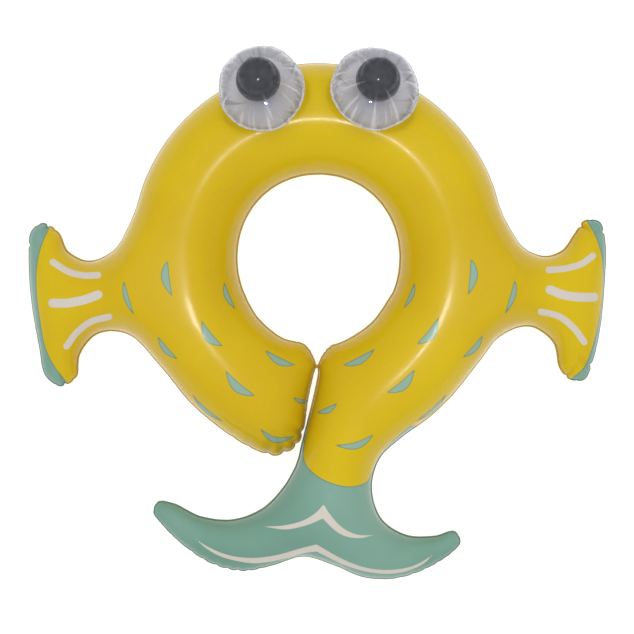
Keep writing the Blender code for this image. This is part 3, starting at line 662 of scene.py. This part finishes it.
def backing_film(name):
    mat, tree, shader = new_material(name, YELLOW, 0.26, Specular_IOR_Level=0.24,
                                     Coat_Weight=0.12, Coat_Roughness=0.10)
    soft = noise(tree, 5.0, 3.0)
    fine = noise(tree, 190.0, 2.0)
    colour = mix(tree, ramp(tree, soft, 0.3, 0.7), (0.59, 0.41, 0.020), (0.65, 0.475, 0.028))
    colour = mix(tree, ramp(tree, fine, 0.35, 0.75, 0.0, 0.05), colour, (0.34, 0.26, 0.07))
    seam = attribute(tree, "seam_distance")
    colour = mix(tree, ramp(tree, seam, 0.6, 3.4, 0.34, 0.0), colour, (0.42, 0.27, 0.03),
                 kind="MULTIPLY")
    # painted shade: the film is darkened in the valleys the puckers leave
    valley = math_node(tree, "MULTIPLY", attribute(tree, "valley"), 0.55, clamp=True)
    colour = mix(tree, valley, colour, (0.48, 0.33, 0.06), kind="MULTIPLY")
    tree.links.new(colour, shader.inputs["Base Color"])
    rough = math_node(tree, "ADD", ramp(tree, noise(tree, 24.0, 3.0), 0.3, 0.7, 0.22, 0.33),
                      ramp(tree, seam, 0.8, 2.2, 0.16, 0.0))
    tree.links.new(rough, shader.inputs["Roughness"])
    bump(tree, shader, math_node(tree, "ADD", math_node(tree, "MULTIPLY", fine, 0.15),
                                 noise(tree, 34.0, 2.0)), 0.12, 0.0006, also=("Coat Normal",))
    return mat


def clear_film(name):
    """Thin clear film: mostly see-through, glossy at a slant, a little milky in its creases. It is painted milky
    white towards a slant (painted sheen) and along fine streaks from the rim (painted light).
    """
    mat, tree, shader = new_material(name, (0.84, 0.84, 0.91), 0.07, Specular_IOR_Level=0.6,
                                     Coat_Weight=0.4, Coat_Roughness=0.03)
    through = node(tree, "ShaderNodeBsdfTransparent")
    through.inputs["Color"].default_value = (0.965, 0.968, 0.985, 1)
    layer = node(tree, "ShaderNodeLayerWeight")
    layer.inputs["Blend"].default_value = 0.42
    # painted sheen: the clear film is painted milky white where it is seen at a slant, in place of its reflection of
    # the bright room
    painted_slant_sheen = ramp(tree, layer.outputs["Facing"], 0.42, 0.97, 0.012, 0.42)
    crease = math_node(tree, "MULTIPLY", attribute(tree, "crease"), 0.26)
    # painted light: fine light lines run in from the rim where small wrinkles catch the light
    painted_streak = math_node(tree, "MULTIPLY", ramp(tree, attribute(tree, "painted_streak"), 0.05, 0.9), 0.30)
    haze = math_node(tree, "MULTIPLY", ramp(tree, noise(tree, 120.0, 3.0), 0.42, 0.72), 0.02)
    rim = ramp(tree, attribute(tree, "rim"), 0.0, 2.4, 0.16, 0.0)
    cover = math_node(tree, "ADD", math_node(tree, "ADD", painted_slant_sheen, crease),
                      math_node(tree, "ADD", math_node(tree, "ADD", haze, rim), painted_streak), clamp=True)
    blend_node = node(tree, "ShaderNodeMixShader")
    tree.links.new(cover, blend_node.inputs[0])
    tree.links.new(through.outputs[0], blend_node.inputs[1])
    tree.links.new(shader.outputs[0], blend_node.inputs[2])
    b = bump(tree, shader, noise(tree, 60.0, 2.0), 0.14, 0.0006, also=("Coat Normal",))
    # the whole face stays glossy, also where it is see-through
    gloss = node(tree, "ShaderNodeBsdfGlossy")
    gloss.inputs["Roughness"].default_value = 0.045
    gloss.inputs["Color"].default_value = (1, 1, 1, 1)
    fresnel = node(tree, "ShaderNodeFresnel")
    fresnel.inputs["IOR"].default_value = 1.38
    for socket in (gloss.inputs["Normal"], fresnel.inputs["Normal"]):
        tree.links.new(b.outputs["Normal"], socket)
    glossy_mix = node(tree, "ShaderNodeMixShader")
    tree.links.new(fresnel.outputs[0], glossy_mix.inputs[0])
    tree.links.new(blend_node.outputs[0], glossy_mix.inputs[1])
    tree.links.new(gloss.outputs[0], glossy_mix.inputs[2])
    output = next(n for n in tree.nodes if n.type == "OUTPUT_MATERIAL")
    tree.links.new(glossy_mix.outputs[0], output.inputs["Surface"])
    return mat


def pale_film(name):
    mat, tree, shader = new_material(name, (0.43, 0.43, 0.50), 0.26, Specular_IOR_Level=0.45,
                                     Coat_Weight=0.35, Coat_Roughness=0.08)
    soft = noise(tree, 38.0, 3.0)
    colour = mix(tree, ramp(tree, soft, 0.32, 0.7), (0.76, 0.775, 0.88), (0.83, 0.84, 0.92))
    # painted shade: fine dark lines run in from the rim where small wrinkles lie in shade
    colour = mix(tree, math_node(tree, "MULTIPLY", ramp(tree, attribute(tree, "painted_streak"), 0.0, -0.9), 0.75),
                 colour, (0.40, 0.40, 0.50))
    colour = mix(tree, math_node(tree, "MULTIPLY", attribute(tree, "crease"), 0.5, clamp=True),
                 colour, (0.90, 0.91, 0.98))
    colour = mix(tree, ramp(tree, attribute(tree, "rim"), 0.0, 2.6, 0.5, 0.0), colour,
                 (0.74, 0.75, 0.83))
    tree.links.new(colour, shader.inputs["Base Color"])
    tree.links.new(ramp(tree, noise(tree, 70.0, 2.0), 0.3, 0.7, 0.20, 0.33), shader.inputs["Roughness"])
    bump(tree, shader, noise(tree, 55.0, 2.0), 0.15, 0.0006, also=("Coat Normal",))
    # thin film: daylight comes through it from behind
    glow = node(tree, "ShaderNodeBsdfTranslucent")
    tree.links.new(colour, glow.inputs["Color"])
    blend_node = node(tree, "ShaderNodeMixShader")
    blend_node.inputs[0].default_value = 0.36
    tree.links.new(shader.outputs[0], blend_node.inputs[1])
    tree.links.new(glow.outputs[0], blend_node.inputs[2])
    output = next(n for n in tree.nodes if n.type == "OUTPUT_MATERIAL")
    tree.links.new(blend_node.outputs[0], output.inputs["Surface"])
    return mat


def ball_black(name):
    mat, tree, shader = new_material(name, (0.040, 0.045, 0.058), 0.16, Specular_IOR_Level=0.4,
                                     Coat_Weight=0.22, Coat_Roughness=0.04)
    soft = noise(tree, 70.0, 3.0)
    tree.links.new(mix(tree, ramp(tree, soft, 0.35, 0.7), (0.024, 0.028, 0.037),
                       (0.031, 0.035, 0.046)), shader.inputs["Base Color"])
    tree.links.new(ramp(tree, noise(tree, 160.0, 3.0), 0.35, 0.75, 0.11, 0.24),
                   shader.inputs["Roughness"])
    bump(tree, shader, noise(tree, 150.0, 2.0), 0.03, 0.0003)
    return mat


def moulded(name, light, dark, rough=0.42):
    mat, tree, shader = new_material(name, light, rough, Specular_IOR_Level=0.4,
                                     Subsurface_Weight=0.12, Subsurface_Scale=0.003)
    tree.links.new(mix(tree, ramp(tree, noise(tree, 90.0, 3.0), 0.3, 0.72), dark, light),
                   shader.inputs["Base Color"])
    tree.links.new(ramp(tree, noise(tree, 240.0, 2.0), 0.3, 0.7, rough - 0.07, rough + 0.07),
                   shader.inputs["Roughness"])
    bump(tree, shader, noise(tree, 420.0, 3.0), 0.16, 0.0003)
    return mat


MATERIALS = {
    "printed_film": printed_film("printed_film"), "back_film": backing_film("back_film"),
    "clear_film": clear_film("clear_film"), "pale_film": pale_film("pale_film"),
    "ball_black": ball_black("ball_black"),
    "valve_yellow": moulded("valve_yellow", (0.66, 0.53, 0.10), (0.58, 0.45, 0.07)),
    "valve_clear": moulded("valve_clear", (0.62, 0.62, 0.66), (0.54, 0.54, 0.59), 0.38),
}


def finish_piece(obj, slot, *nodes):
    obj.data.materials.clear()
    obj.data.materials.append(MATERIALS[slot])
    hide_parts(*nodes)
    return obj


# ================================================================ the body's two films
eye_axis = {s: np.array(m.col[2][:3]) for s, m in EYES.items()}
eye_mid = {s: np.array(m.translation) for s, m in EYES.items()}

v, tris, h, s, d, valley = film_mesh(2.0)
z = SEAM_Z + FILM_LOW + FILM_RISE * np.clip(h / 3, 0, 1) + h
for side in ("left", "right"):
    n = eye_axis[side]
    c = (eye_mid[side] / MM - np.r_[SHIFT, 0])
    level = c @ n - 32 + EYE_FLAT - 0.3 - 0.5 - 0.3
    reach = v @ n[:2] + z * n[2]
    off = np.hypot(v[:, 0] - c[0], v[:, 1] - c[1])
    near = off < 90
    level = level + 0.55 * np.clip(off - 54, 0, None) ** 1.15
    soft = 0.9
    over = (reach - level) / soft
    eased = level - soft * np.log1p(np.exp(np.clip(-over, -30, 30)))
    z = np.where(near & (over > -8), (eased - v @ n[:2]) / n[2], z)
seen = VIEW_AXIS + (v - VIEW_AXIS) * (VIEW_HEIGHT / (VIEW_HEIGHT - (z - SEAM_Z)))[:, None]
green, scales, pale = print_fields(seen)
front = build_film("body_front_film", v, tris, z, d, 1,
                   {"green_print": green, "scale_print": scales, "pale_print": pale,
                    "seam_distance": d, "valley": valley})
finish_piece(front, "printed_film", "front_skin")
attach(front, "float_body")

v, tris, h, s, d, valley = film_mesh(3.0)
z = SEAM_Z - FILM_LOW - FILM_RISE * np.clip(h / 3, 0, 1) - np.minimum(h, REST_HEIGHT)
n = np.array(MAIN_VALVE.col[2][:3])
c = np.array(MAIN_VALVE.translation) / MM - np.r_[SHIFT, 0]
away = np.c_[v, z] - c
plane_z = c[2] - ((v - c[:2]) @ n[:2]) / n[2]
on_plane = np.linalg.norm(np.c_[v, plane_z] - c, axis=1)
over = away @ n
blend_w = np.clip((on_plane - 17.0) / 9.0, 0, 1)
blend_w = blend_w * blend_w * (3 - 2 * blend_w)
near = np.linalg.norm(away, axis=1) < 60
z = np.where(near & (on_plane < 26), plane_z * (1 - blend_w) + z * blend_w, z)
over = (v - c[:2]) @ n[:2] + (z - c[2]) * n[2]
z = np.where(near & (over > 0), plane_z, z)
on_plane = np.linalg.norm(np.c_[v, z] - c, axis=1)
tris = tris[~(on_plane[tris] < 9.6).all(1)]
back = build_film("body_back_film", v, tris, z, d, -1, {"seam_distance": d, "valley": valley})
finish_piece(back, "back_film", "back_skin")
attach(back, "float_body")


# ================================================================ turned and swept pieces
def rounded(profile, radius=0.35, n=3):
    """The profile with its corners eased."""
    out = []
    last = len(profile) - 1
    for i, (r, zz) in enumerate(profile):
        if i in (0, last) and (r < 1e-6):
            out.append((r, zz))
            continue
        a, b = np.array(profile[i - 1]), np.array(profile[(i + 1) % len(profile)])
        p = np.array((r, zz), float)
        la, lb = np.hypot(*(a - p)), np.hypot(*(b - p))
        if min(la, lb) < 1e-6:
            out.append((r, zz))
            continue
        e = min(radius, 0.42 * la, 0.42 * lb)
        s0, s1 = p + (a - p) / la * e, p + (b - p) / lb * e
        for t in np.linspace(0, 1, n + 1):
            q = (1 - t) ** 2 * s0 + 2 * t * (1 - t) * p + t * t * s1
            out.append((float(q[0]), float(q[1])))
    return out


def link(name, mesh, place):
    mesh.transform(place)
    mesh.validate()
    mesh.update()
    obj = bpy.data.objects.new(name, mesh)
    bpy.context.scene.collection.objects.link(obj)
    return obj


def turned(name, profile, place, steps=64, at=(0, 0, 0), ripple=None, sharp=50):
    """A turned piece from a closed profile of (radius, height) in mm."""
    profile = list(profile)
    open_ends = profile[0][0] < 1e-6 and profile[-1][0] < 1e-6
    verts, faces, ids = [], [], []
    for r, zz in profile:
        if r < 1e-6:
            ids.append([len(verts)] * steps)
            verts.append((at[0] * MM, at[1] * MM, (zz + at[2]) * MM))
            continue
        row = []
        for k in range(steps):
            a = 2 * math.pi * k / steps
            rr = r + (ripple(r, zz, a) if ripple else 0.0)
            row.append(len(verts))
            verts.append(((rr * math.cos(a) + at[0]) * MM, (rr * math.sin(a) + at[1]) * MM,
                          (zz + at[2]) * MM))
        ids.append(row)
    pairs = list(zip(ids[:-1], ids[1:]))
    if not open_ends:
        pairs.append((ids[-1], ids[0]))
    for lo, hi in pairs:
        for k in range(steps):
            j = (k + 1) % steps
            quad = [lo[k], lo[j], hi[j], hi[k]]
            quad = [q for i, q in enumerate(quad) if q not in quad[:i]]
            if len(quad) > 2:
                faces.append(quad[::-1])
    mesh = bpy.data.meshes.new(name)
    mesh.from_pydata(verts, [], faces)
    mesh.shade_smooth()
    mesh.set_sharp_from_angle(angle=math.radians(sharp))
    return link(name, mesh, place)


def ribbon(name, path, place, half_width, half_thick, ends=(1.0, 1.0)):
    """A moulded strap: a rounded flat section swept along a path in the plane y = 0."""
    line = smooth_curve(path, closed=False, n=8)
    section = []
    for k in range(20):
        a = 2 * math.pi * k / 20
        ca, sa = math.cos(a), math.sin(a)
        section.append((math.copysign(abs(ca) ** 0.45, ca) * half_width,
                        math.copysign(abs(sa) ** 0.7, sa) * half_thick))
    verts, faces = [], []
    count = len(line)
    for i, (x, zz) in enumerate(line):
        a, b = line[max(i - 1, 0)], line[min(i + 1, count - 1)]
        t = (b - a) / np.hypot(*(b - a))
        nrm = np.array([-t[1], t[0]])
        f = i / (count - 1)
        wide = ends[0] * (1 - f) + ends[1] * f - 0.25 * math.sin(math.pi * f)
        for w, tk in section:
            verts.append(((x + nrm[0] * tk) * MM, w * wide * MM, (zz + nrm[1] * tk) * MM))
    k = len(section)
    for i in range(count - 1):
        for j in range(k):
            faces.append([i * k + j, i * k + (j + 1) % k, (i + 1) * k + (j + 1) % k, (i + 1) * k + j])
    faces.append(list(range(k))[::-1])
    faces.append([(count - 1) * k + j for j in range(k)])
    mesh = bpy.data.meshes.new(name)
    mesh.from_pydata(verts, [], faces)
    mesh.shade_smooth()
    return link(name, mesh, place)


def along(place, x, zz):
    return tuple(place @ Vector((x * MM, 0, zz * MM)))


# ================================================================ bubble eyes
BUBBLE_R, DOME_R, DEPTH = 53.0, 50.8, 32.0


def bubble_creases(seed):
    rng = np.random.default_rng(seed)
    count = 38
    angles = (np.arange(count) + rng.uniform(-0.38, 0.38, count)) * 2 * math.pi / count
    return list(zip(angles, rng.uniform(0.15, 0.85, count), rng.uniform(0.4, 0.85, count) * 2 * math.pi / count,
                    rng.uniform(0.55, 1.15, count)))


def bubble_painted_streaks(seed, theta, share):
    """Painted light and shade of fine wrinkles: light and dark lines that run in from the rim, at (share of the way
    in, angle).
    """
    rng = np.random.default_rng(seed + 40)
    out = np.zeros((len(share), len(theta)))
    for _ in range(120):
        at, wide = rng.uniform(0, 2 * math.pi), rng.uniform(0.012, 0.05)
        level, reach, lean = rng.uniform(-0.9, 1.0), rng.uniform(0.3, 1.0), rng.uniform(-0.12, 0.12)
        for i, f in enumerate(share):
            grow = np.clip((f - (1 - reach)) / max(reach * 0.6, 1e-3), 0, 1)
            if grow > 0:
                dt = (theta - at - lean * (1 - f) + math.pi) % (2 * math.pi) - math.pi
                out[i] += level * grow * np.exp(-(dt / (wide * (1.7 - 0.7 * f))) ** 2)
    return np.clip(out, -1, 1)


def bubble(name, place, seed, front_side, hole=None, stretch=(0.0, 0.0)):
    """One film of a bubble: a dome with radial creases that die out towards its middle, on a
    scalloped flat rim. The back one is pressed flat where it rests on the ring."""
    steps, rings = 216, 46
    theta = np.arange(steps) * 2 * math.pi / steps
    deep = np.zeros((rings + 4, steps))
    creases = bubble_creases(seed)
    alpha = np.radians(np.linspace(0, 90, rings + 1)) ** 1.0
    radius, height, fade = [], [], []
    for a in alpha:
        radius.append(DOME_R * math.sin(a))
        height.append(0.3 + (DEPTH - 0.3) * math.cos(a))
        fade.append(a)
    for r in (DOME_R + 0.8, BUBBLE_R - 0.25, BUBBLE_R):
        radius.append(r)
        height.append(0.3)
        fade.append(math.pi / 2)
    radius, height, fade = np.array(radius), np.array(height), np.array(fade)
    f_rim = np.clip((fade - math.radians(28)) / math.radians(50), 0, 1)
    f_rim = f_rim * f_rim * (3 - 2 * f_rim)
    sharp_c = np.zeros((len(radius), steps))
    for at, depth, width, reach in creases:
        dt = np.abs((theta - at + math.pi) % (2 * math.pi) - math.pi)
        for i in range(len(radius)):
            start = 1 - reach * 0.75
            grow = np.clip((f_rim[i] - start) / (1 - start), 0, 1)
            shape = np.clip(1 - dt / (width * (1.15 - 0.5 * f_rim[i])), 0, 1)
            sharp_c[i] += depth * grow * (shape ** (1.2 + 0.9 * f_rim[i]))
    sharp_c = np.minimum(sharp_c, 1.25)
    lobe = 0.010 * np.cos(5 * theta + seed) + 0.006 * np.cos(8 * theta + 2.0 * seed) - 0.006
    rr = radius[:, None] * (1 + lobe[None, :] * f_rim[:, None]) - 1.35 * sharp_c * f_rim[:, None] ** 2
    zz = height[:, None] * (1 - 0.13 * sharp_c * f_rim[:, None])
    zz[rings + 1:] = 0.3
    zz[rings] = 0.3
    if not front_side:
        flat = DEPTH - EYE_FLAT
        soft = 0.5
        zz = np.where(zz > flat - 3, flat - soft * np.log1p(np.exp(np.clip((flat - zz) / soft, -30, 30))), zz)
        zz = np.minimum(zz, flat)
        zz = -zz
    near_rim = np.clip((radius / BUBBLE_R - (0.45 if front_side else 0.78)) / (0.55 if front_side else 0.22), 0, 1)
    near_rim = (near_rim * near_rim * (3 - 2 * near_rim))[:, None]
    x = rr * np.cos(theta) * (1 + stretch[0] * near_rim)
    y = rr * np.sin(theta) * (1 + stretch[1] * near_rim)
    painted_streak = bubble_painted_streaks(seed, theta, np.clip(fade / (math.pi / 2), 0, 1))
    verts = [(0, 0, float(zz[0, 0]) * MM)]
    rows = []
    crease_v, rim_v, painted_streak_v = [0.0], [BUBBLE_R], [0.0]
    for i in range(1, len(radius)):
        rows.append(range(len(verts), len(verts) + steps))
        verts += [(float(x[i, k]) * MM, float(y[i, k]) * MM, float(zz[i, k]) * MM) for k in range(steps)]
        crease_v += (sharp_c[i] * f_rim[i]).tolist()
        rim_v += [float(BUBBLE_R - radius[i])] * steps
        painted_streak_v += painted_streak[i].tolist()
    # thin cut edge of the rim, down to the weld plane
    rows.append(range(len(verts), len(verts) + steps))
    verts += [(float(x[-1, k]) * MM, float(y[-1, k]) * MM, 0.0) for k in range(steps)]
    crease_v += sharp_c[-1].tolist()
    rim_v += [0.0] * steps
    painted_streak_v += painted_streak[-1].tolist()
    faces = []
    for k in range(steps):
        j = (k + 1) % steps
        faces.append([0, rows[0][k], rows[0][j]])
    for lo, hi in zip(rows[:-1], rows[1:]):
        for k in range(steps):
            j = (k + 1) % steps
            faces.append([lo[k], hi[k], hi[j], lo[j]])
    if hole is not None:
        pts = np.array(verts) / MM
        near = np.linalg.norm(np.cross(pts - hole[0], hole[1]), axis=1) < 3.4
        near &= np.linalg.norm(pts - hole[0], axis=1) < 12
        faces = [f for f in faces if not all(near[i] for i in f)]
    if not front_side:
        faces = [f[::-1] for f in faces]
    mesh = bpy.data.meshes.new(name)
    mesh.from_pydata(verts, [], faces)
    mesh.shade_smooth()
    for key, values in (("crease", crease_v), ("rim", rim_v), ("painted_streak", painted_streak_v)):
        a = mesh.attributes.new(key, "FLOAT", "POINT")
        a.data.foreach_set("value", np.array(values, np.float32))
    mesh.set_sharp_from_angle(angle=math.radians(58))
    return link(name, mesh, place)


BALL_R, BALL_AT = 27.2, (13.0, 0.0, -1.2)
for side, seed in (("left", 3), ("right", 8)):
    place = EYES[side]
    stretch = {"left": (0.085, 0.0), "right": (0.04, 0.03)}[side]
    dome = bubble("eye_%s_clear_bubble" % side, place, seed, True, None, stretch)
    finish_piece(dome, "clear_film", "eye_%s_front_dome" % side)
    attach(dome, "float_body")
    vp = place.inverted() @ EYE_VALVES[side]
    hole = (np.array(vp.translation) / MM, np.array(vp.col[2][:3]))
    dome = bubble("eye_%s_back_bubble" % side, place, seed, False, hole, stretch)
    finish_piece(dome, "pale_film", "eye_%s_back_dome" % side)
    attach(dome, "float_body")
    # round weld that holds the bubble on the ring, with its pressed ring mark
    patch = turned("eye_%s_weld_patch" % side,
                   rounded([(0, 1.0), (5.0, 1.0), (6.0, 0.75), (8.4, 0.75), (9.2, 1.02), (10.4, 1.02),
                            (11.0, 0.7), (11.0, 0.05), (0, 0.05)], 0.25),
                   place, 56, at=(-5.0, 0, -31.1))
    finish_piece(patch, "valve_clear", "eye_%s_mount_patch" % side)
    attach(patch, "float_body")
    # ball in two halves, each with a thin joining bead
    count = 26
    shell = [(BALL_R * math.sin(a), BALL_R * math.cos(a)) for a in np.radians(np.linspace(0, 88.6, count))]
    core = [((BALL_R - 1.4) * math.sin(a), (BALL_R - 1.4) * math.cos(a))
            for a in np.radians(np.linspace(0, 90, 16))]
    core[-1] = (BALL_R - 1.4, 0.15)
    bead = [(BALL_R + 0.02, 0.62), (BALL_R + 0.22, 0.50), (BALL_R + 0.24, 0.28), (BALL_R + 0.1, 0.15)]
    half = shell + bead + core[::-1]
    top = turned("ball_%s_front_half" % side, half, place, 96, at=BALL_AT, sharp=40)
    finish_piece(top, "ball_black", "pupil_%s_front" % side)
    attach(top, "%s_ball" % side)
    low = turned("ball_%s_back_half" % side, [(r, -zz) for r, zz in half][::-1], place, 96, at=BALL_AT,
                 sharp=40)
    finish_piece(low, "ball_black", "pupil_%s_back" % side)
    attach(low, "%s_ball" % side)

    # small moulded valve
    vplace = EYE_VALVES[side]
    stem = turned("eye_%s_air_stem" % side,
                  rounded([(2.3, 2.4), (3.6, 2.4), (3.6, 1.75), (3.15, 1.45), (4.2, 1.3), (6.2, 1.24),
                           (6.5, 1.42), (7.0, 1.42), (7.5, 1.1), (7.6, 0.62), (3.1, 0.55), (3.1, -3.6),
                           (2.3, -3.6)], 0.3), vplace, 48)
    finish_piece(stem, "valve_clear", "eye_%s_valve_stem" % side)
    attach(stem, "float_body")

    def grip(r, zz, a):
        return -0.16 * max(0.0, math.cos(12 * a)) if (r > 3.0 and zz > 2.6) else 0.0

    plug = turned("eye_%s_air_plug" % side,
                  rounded([(0, 3.7), (1.6, 3.62), (2.2, 3.9), (3.2, 3.9), (3.7, 3.5), (3.7, 2.72),
                           (2.1, 2.7), (2.1, 0.4), (2.25, 0.1), (2.0, -0.4), (1.9, -1.6), (1.5, -2.2),
                           (0, -2.2)], 0.25), vplace, 48, ripple=grip)
    finish_piece(plug, "valve_clear", "eye_%s_valve_plug" % side)
    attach(plug, "%s_eye_plug" % side)
    strap = ribbon("eye_%s_air_strap" % side,
                   [(3.5, 2.05), (5.0, 1.95), (7.4, 1.95), (8.9, 2.2), (9.3, 2.9), (8.7, 3.55), (7.0, 3.7),
                    (5.0, 3.55), (3.55, 3.3)], vplace, 0.95, 0.22)
    finish_piece(strap, "valve_clear", "eye_%s_valve_strap" % side)
    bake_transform(strap)
    flap = turned("eye_%s_air_flap" % side,
                  rounded([(0, 0.2), (2.2, 0.2), (2.8, 0.14), (2.8, -0.14), (2.2, -0.2), (0.9, -0.2),
                           (0.5, -0.34), (0, -0.34)], 0.12), vplace, 40, at=(0, 0, -4.1))
    finish_piece(flap, "valve_clear", "eye_%s_valve_flap" % side)
    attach(flap, "%s_eye_flap" % side)

# ================================================================ main valve
base = turned("main_valve_flange",
              rounded([(8.1, 1.1), (8.9, 1.25), (9.6, 1.1), (11.0, 1.0), (11.4, 1.22), (12.1, 1.22),
                       (12.5, 1.0), (13.4, 0.95), (13.8, 1.1), (14.6, 1.05), (15.0, 0.75), (15.0, 0.3),
                       (9.1, 0.3), (9.1, -2.4), (8.1, -2.4)], 0.3), MAIN_VALVE, 72)
finish_piece(base, "valve_yellow", "valve_base")
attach(base, "float_body")
funnel = turned("main_valve_roll",
                rounded([(7.8, -1.6), (7.8, -2.6), (7.3, -5.4), (6.7, -8.4), (6.0, -12.2), (5.5, -12.2),
                         (5.5, -11.4), (6.1, -8.2), (6.7, -5.2), (7.1, -2.6), (7.1, -1.6)], 0.3),
                MAIN_VALVE, 64)
finish_piece(funnel, "valve_yellow", "valve_membrane")
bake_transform(funnel)
stem = turned("main_valve_tube",
              rounded([(3.3, 1.6), (4.4, 1.75), (5.2, 1.5), (5.2, 0.7), (4.6, 0.2), (4.6, -10.6),
                       (5.2, -11.0), (5.2, -12.4), (3.3, -12.4)], 0.3), MAIN_VALVE, 64)
finish_piece(stem, "valve_yellow", "valve_stem")
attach(stem, "main_valve_stem")


def main_grip(r, zz, a):
    return -0.22 * max(0.0, math.cos(16 * a)) if (r > 4.6 and zz > 1.8) else 0.0


plug = turned("main_valve_stopper",
              rounded([(0, 3.05), (2.6, 2.95), (3.4, 3.4), (4.9, 3.4), (5.5, 3.05), (5.5, 1.95),
                       (3.15, 1.9), (3.05, 0.6), (3.2, 0.2), (3.0, -0.6), (2.95, -3.2), (3.1, -3.6),
                       (2.9, -4.4), (2.3, -5.6), (0, -5.6)], 0.3), MAIN_VALVE, 64, ripple=main_grip)
finish_piece(plug, "valve_yellow", "valve_plug")
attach(plug, "main_valve_plug")
strap = ribbon("main_valve_leash",
               [(5.1, 1.1), (7.4, 1.45), (10.6, 1.75), (12.9, 2.3), (13.6, 3.3), (12.8, 4.3), (10.4, 4.4),
                (7.6, 3.6), (5.3, 2.7)], MAIN_VALVE, 1.4, 0.32)
finish_piece(strap, "valve_yellow", "valve_strap")
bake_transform(strap)
flap = turned("main_valve_check_flap",
              rounded([(0, 0.25), (3.6, 0.25), (4.5, 0.18), (4.5, -0.18), (3.6, -0.25), (1.4, -0.25),
                       (0.8, -0.5), (0, -0.5)], 0.15), MAIN_VALVE, 48, at=(0, 0, -13.0))
finish_piece(flap, "valve_yellow", "valve_flap")
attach(flap, "main_valve_flap")

# ================================================================ the little weld between the two ends
lo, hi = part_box("end_tack_tab")
centre, half_x, half_y = (lo + hi) / 2, (hi.x - lo.x) / 2, (hi.y - lo.y) / 2
nx, ny = 25, 21
verts, faces = [], []
for layer, zz in ((0, -0.00030), (1, 0.00030)):
    for j in range(ny):
        for i in range(nx):
            a, b = 2 * i / (nx - 1) - 1, 2 * j / (ny - 1) - 1
            x = a * math.sqrt(1 - 0.5 * b * b * 0.45) * half_x
            y = (0.42 + 0.58 * b * math.sqrt(1 - 0.5 * a * a * 0.45)) * half_y
            dimple = 0.00016 * math.cos(math.pi * a * 3) * math.cos(math.pi * b * 2.5)
            edge = (1 - max(abs(a), abs(b)) ** 6)
            verts.append((centre.x + x, centre.y + y, centre.z + (zz * (0.55 + 0.45 * edge)
                                                                  + (dimple * edge if layer else 0))))
for j in range(ny - 1):
    for i in range(nx - 1):
        q = [j * nx + i, j * nx + i + 1, (j + 1) * nx + i + 1, (j + 1) * nx + i]
        faces.append(q[::-1])
        faces.append([k + nx * ny for k in q])
border = ([(0, i) for i in range(nx)] + [(j, nx - 1) for j in range(1, ny)]
          + [(ny - 1, i) for i in range(nx - 2, -1, -1)] + [(j, 0) for j in range(ny - 2, 0, -1)])
border = [j * nx + i for j, i in border]
for a, b in zip(border, border[1:] + border[:1]):
    faces.append([a, b, b + nx * ny, a + nx * ny])
mesh = bpy.data.meshes.new("end_tack_weld")
mesh.from_pydata(verts, [], faces)
mesh.shade_smooth()
mesh.set_sharp_from_angle(angle=math.radians(50))
tack = link("end_tack_weld", mesh, Matrix.Identity(4))
finish_piece(tack, "valve_yellow", "end_tack_tab")
tack.data.materials[0] = moulded("tack_weld", (0.52, 0.31, 0.035), (0.44, 0.25, 0.03), 0.40)
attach(tack, "float_body")

# ================================================================ studio
scene = bpy.context.scene
world = bpy.data.worlds.new("studio")
scene.world = world
world.use_nodes = True
wt = world.node_tree
wt.nodes["Background"].inputs["Color"].default_value = (0.97, 0.98, 1.0, 1)
sky = node(wt, "ShaderNodeTexCoord")
split = node(wt, "ShaderNodeSeparateXYZ")
wt.links.new(sky.outputs["Generated"], split.inputs[0])
wt.links.new(ramp(wt, split.outputs["Z"], 0.0, 0.85, 0.56, 0.60), wt.nodes["Background"].inputs["Strength"])

mesh = bpy.data.meshes.new("floor")
mesh.from_pydata([(-30, -30, -0.0004), (30, -30, -0.0004), (30, 30, -0.0004), (-30, 30, -0.0004)], [], [(0, 1, 2, 3)])
floor = bpy.data.objects.new("floor", mesh)
scene.collection.objects.link(floor)
mat, tree, shader = new_material("studio_floor", (0.38, 0.38, 0.38), 0.9, Specular_IOR_Level=0.1)
shader.inputs["Emission Color"].default_value = (1, 1, 1, 1)
shader.inputs["Emission Strength"].default_value = 0.80
floor.data.materials.append(mat)


def area_light(name, at, target, size_x, size_y, power, colour=(1, 1, 1)):
    data = bpy.data.lights.new(name, "AREA")
    data.shape = "RECTANGLE"
    data.size, data.size_y = size_x, size_y
    data.energy = power
    data.color = colour
    obj = bpy.data.objects.new(name, data)
    scene.collection.objects.link(obj)
    obj.location = at
    obj.rotation_euler = (Vector(target) - Vector(at)).to_track_quat("-Z", "Y").to_euler()
    return obj


overhead = area_light("overhead", (0.0, 0.1, 2.75), (0, 0.1, 0.1), 2.6, 2.6, 31)
overhead.visible_glossy = False
area_light("key", (0.0, 0.03, 2.26), (0, 0, 0.1), 0.14, 0.14, 5.4)

camera = bpy.data.cameras.new("camera")
camera.lens = 95
camera.sensor_width = 36
camera.clip_end = 50
cam = bpy.data.objects.new("camera", camera)
scene.collection.objects.link(cam)
cam.location = (-0.0003, 0.0016, 2.192)
cam.rotation_euler = (0, 0, 0)
scene.camera = cam
scene.view_settings.view_transform = "Standard"
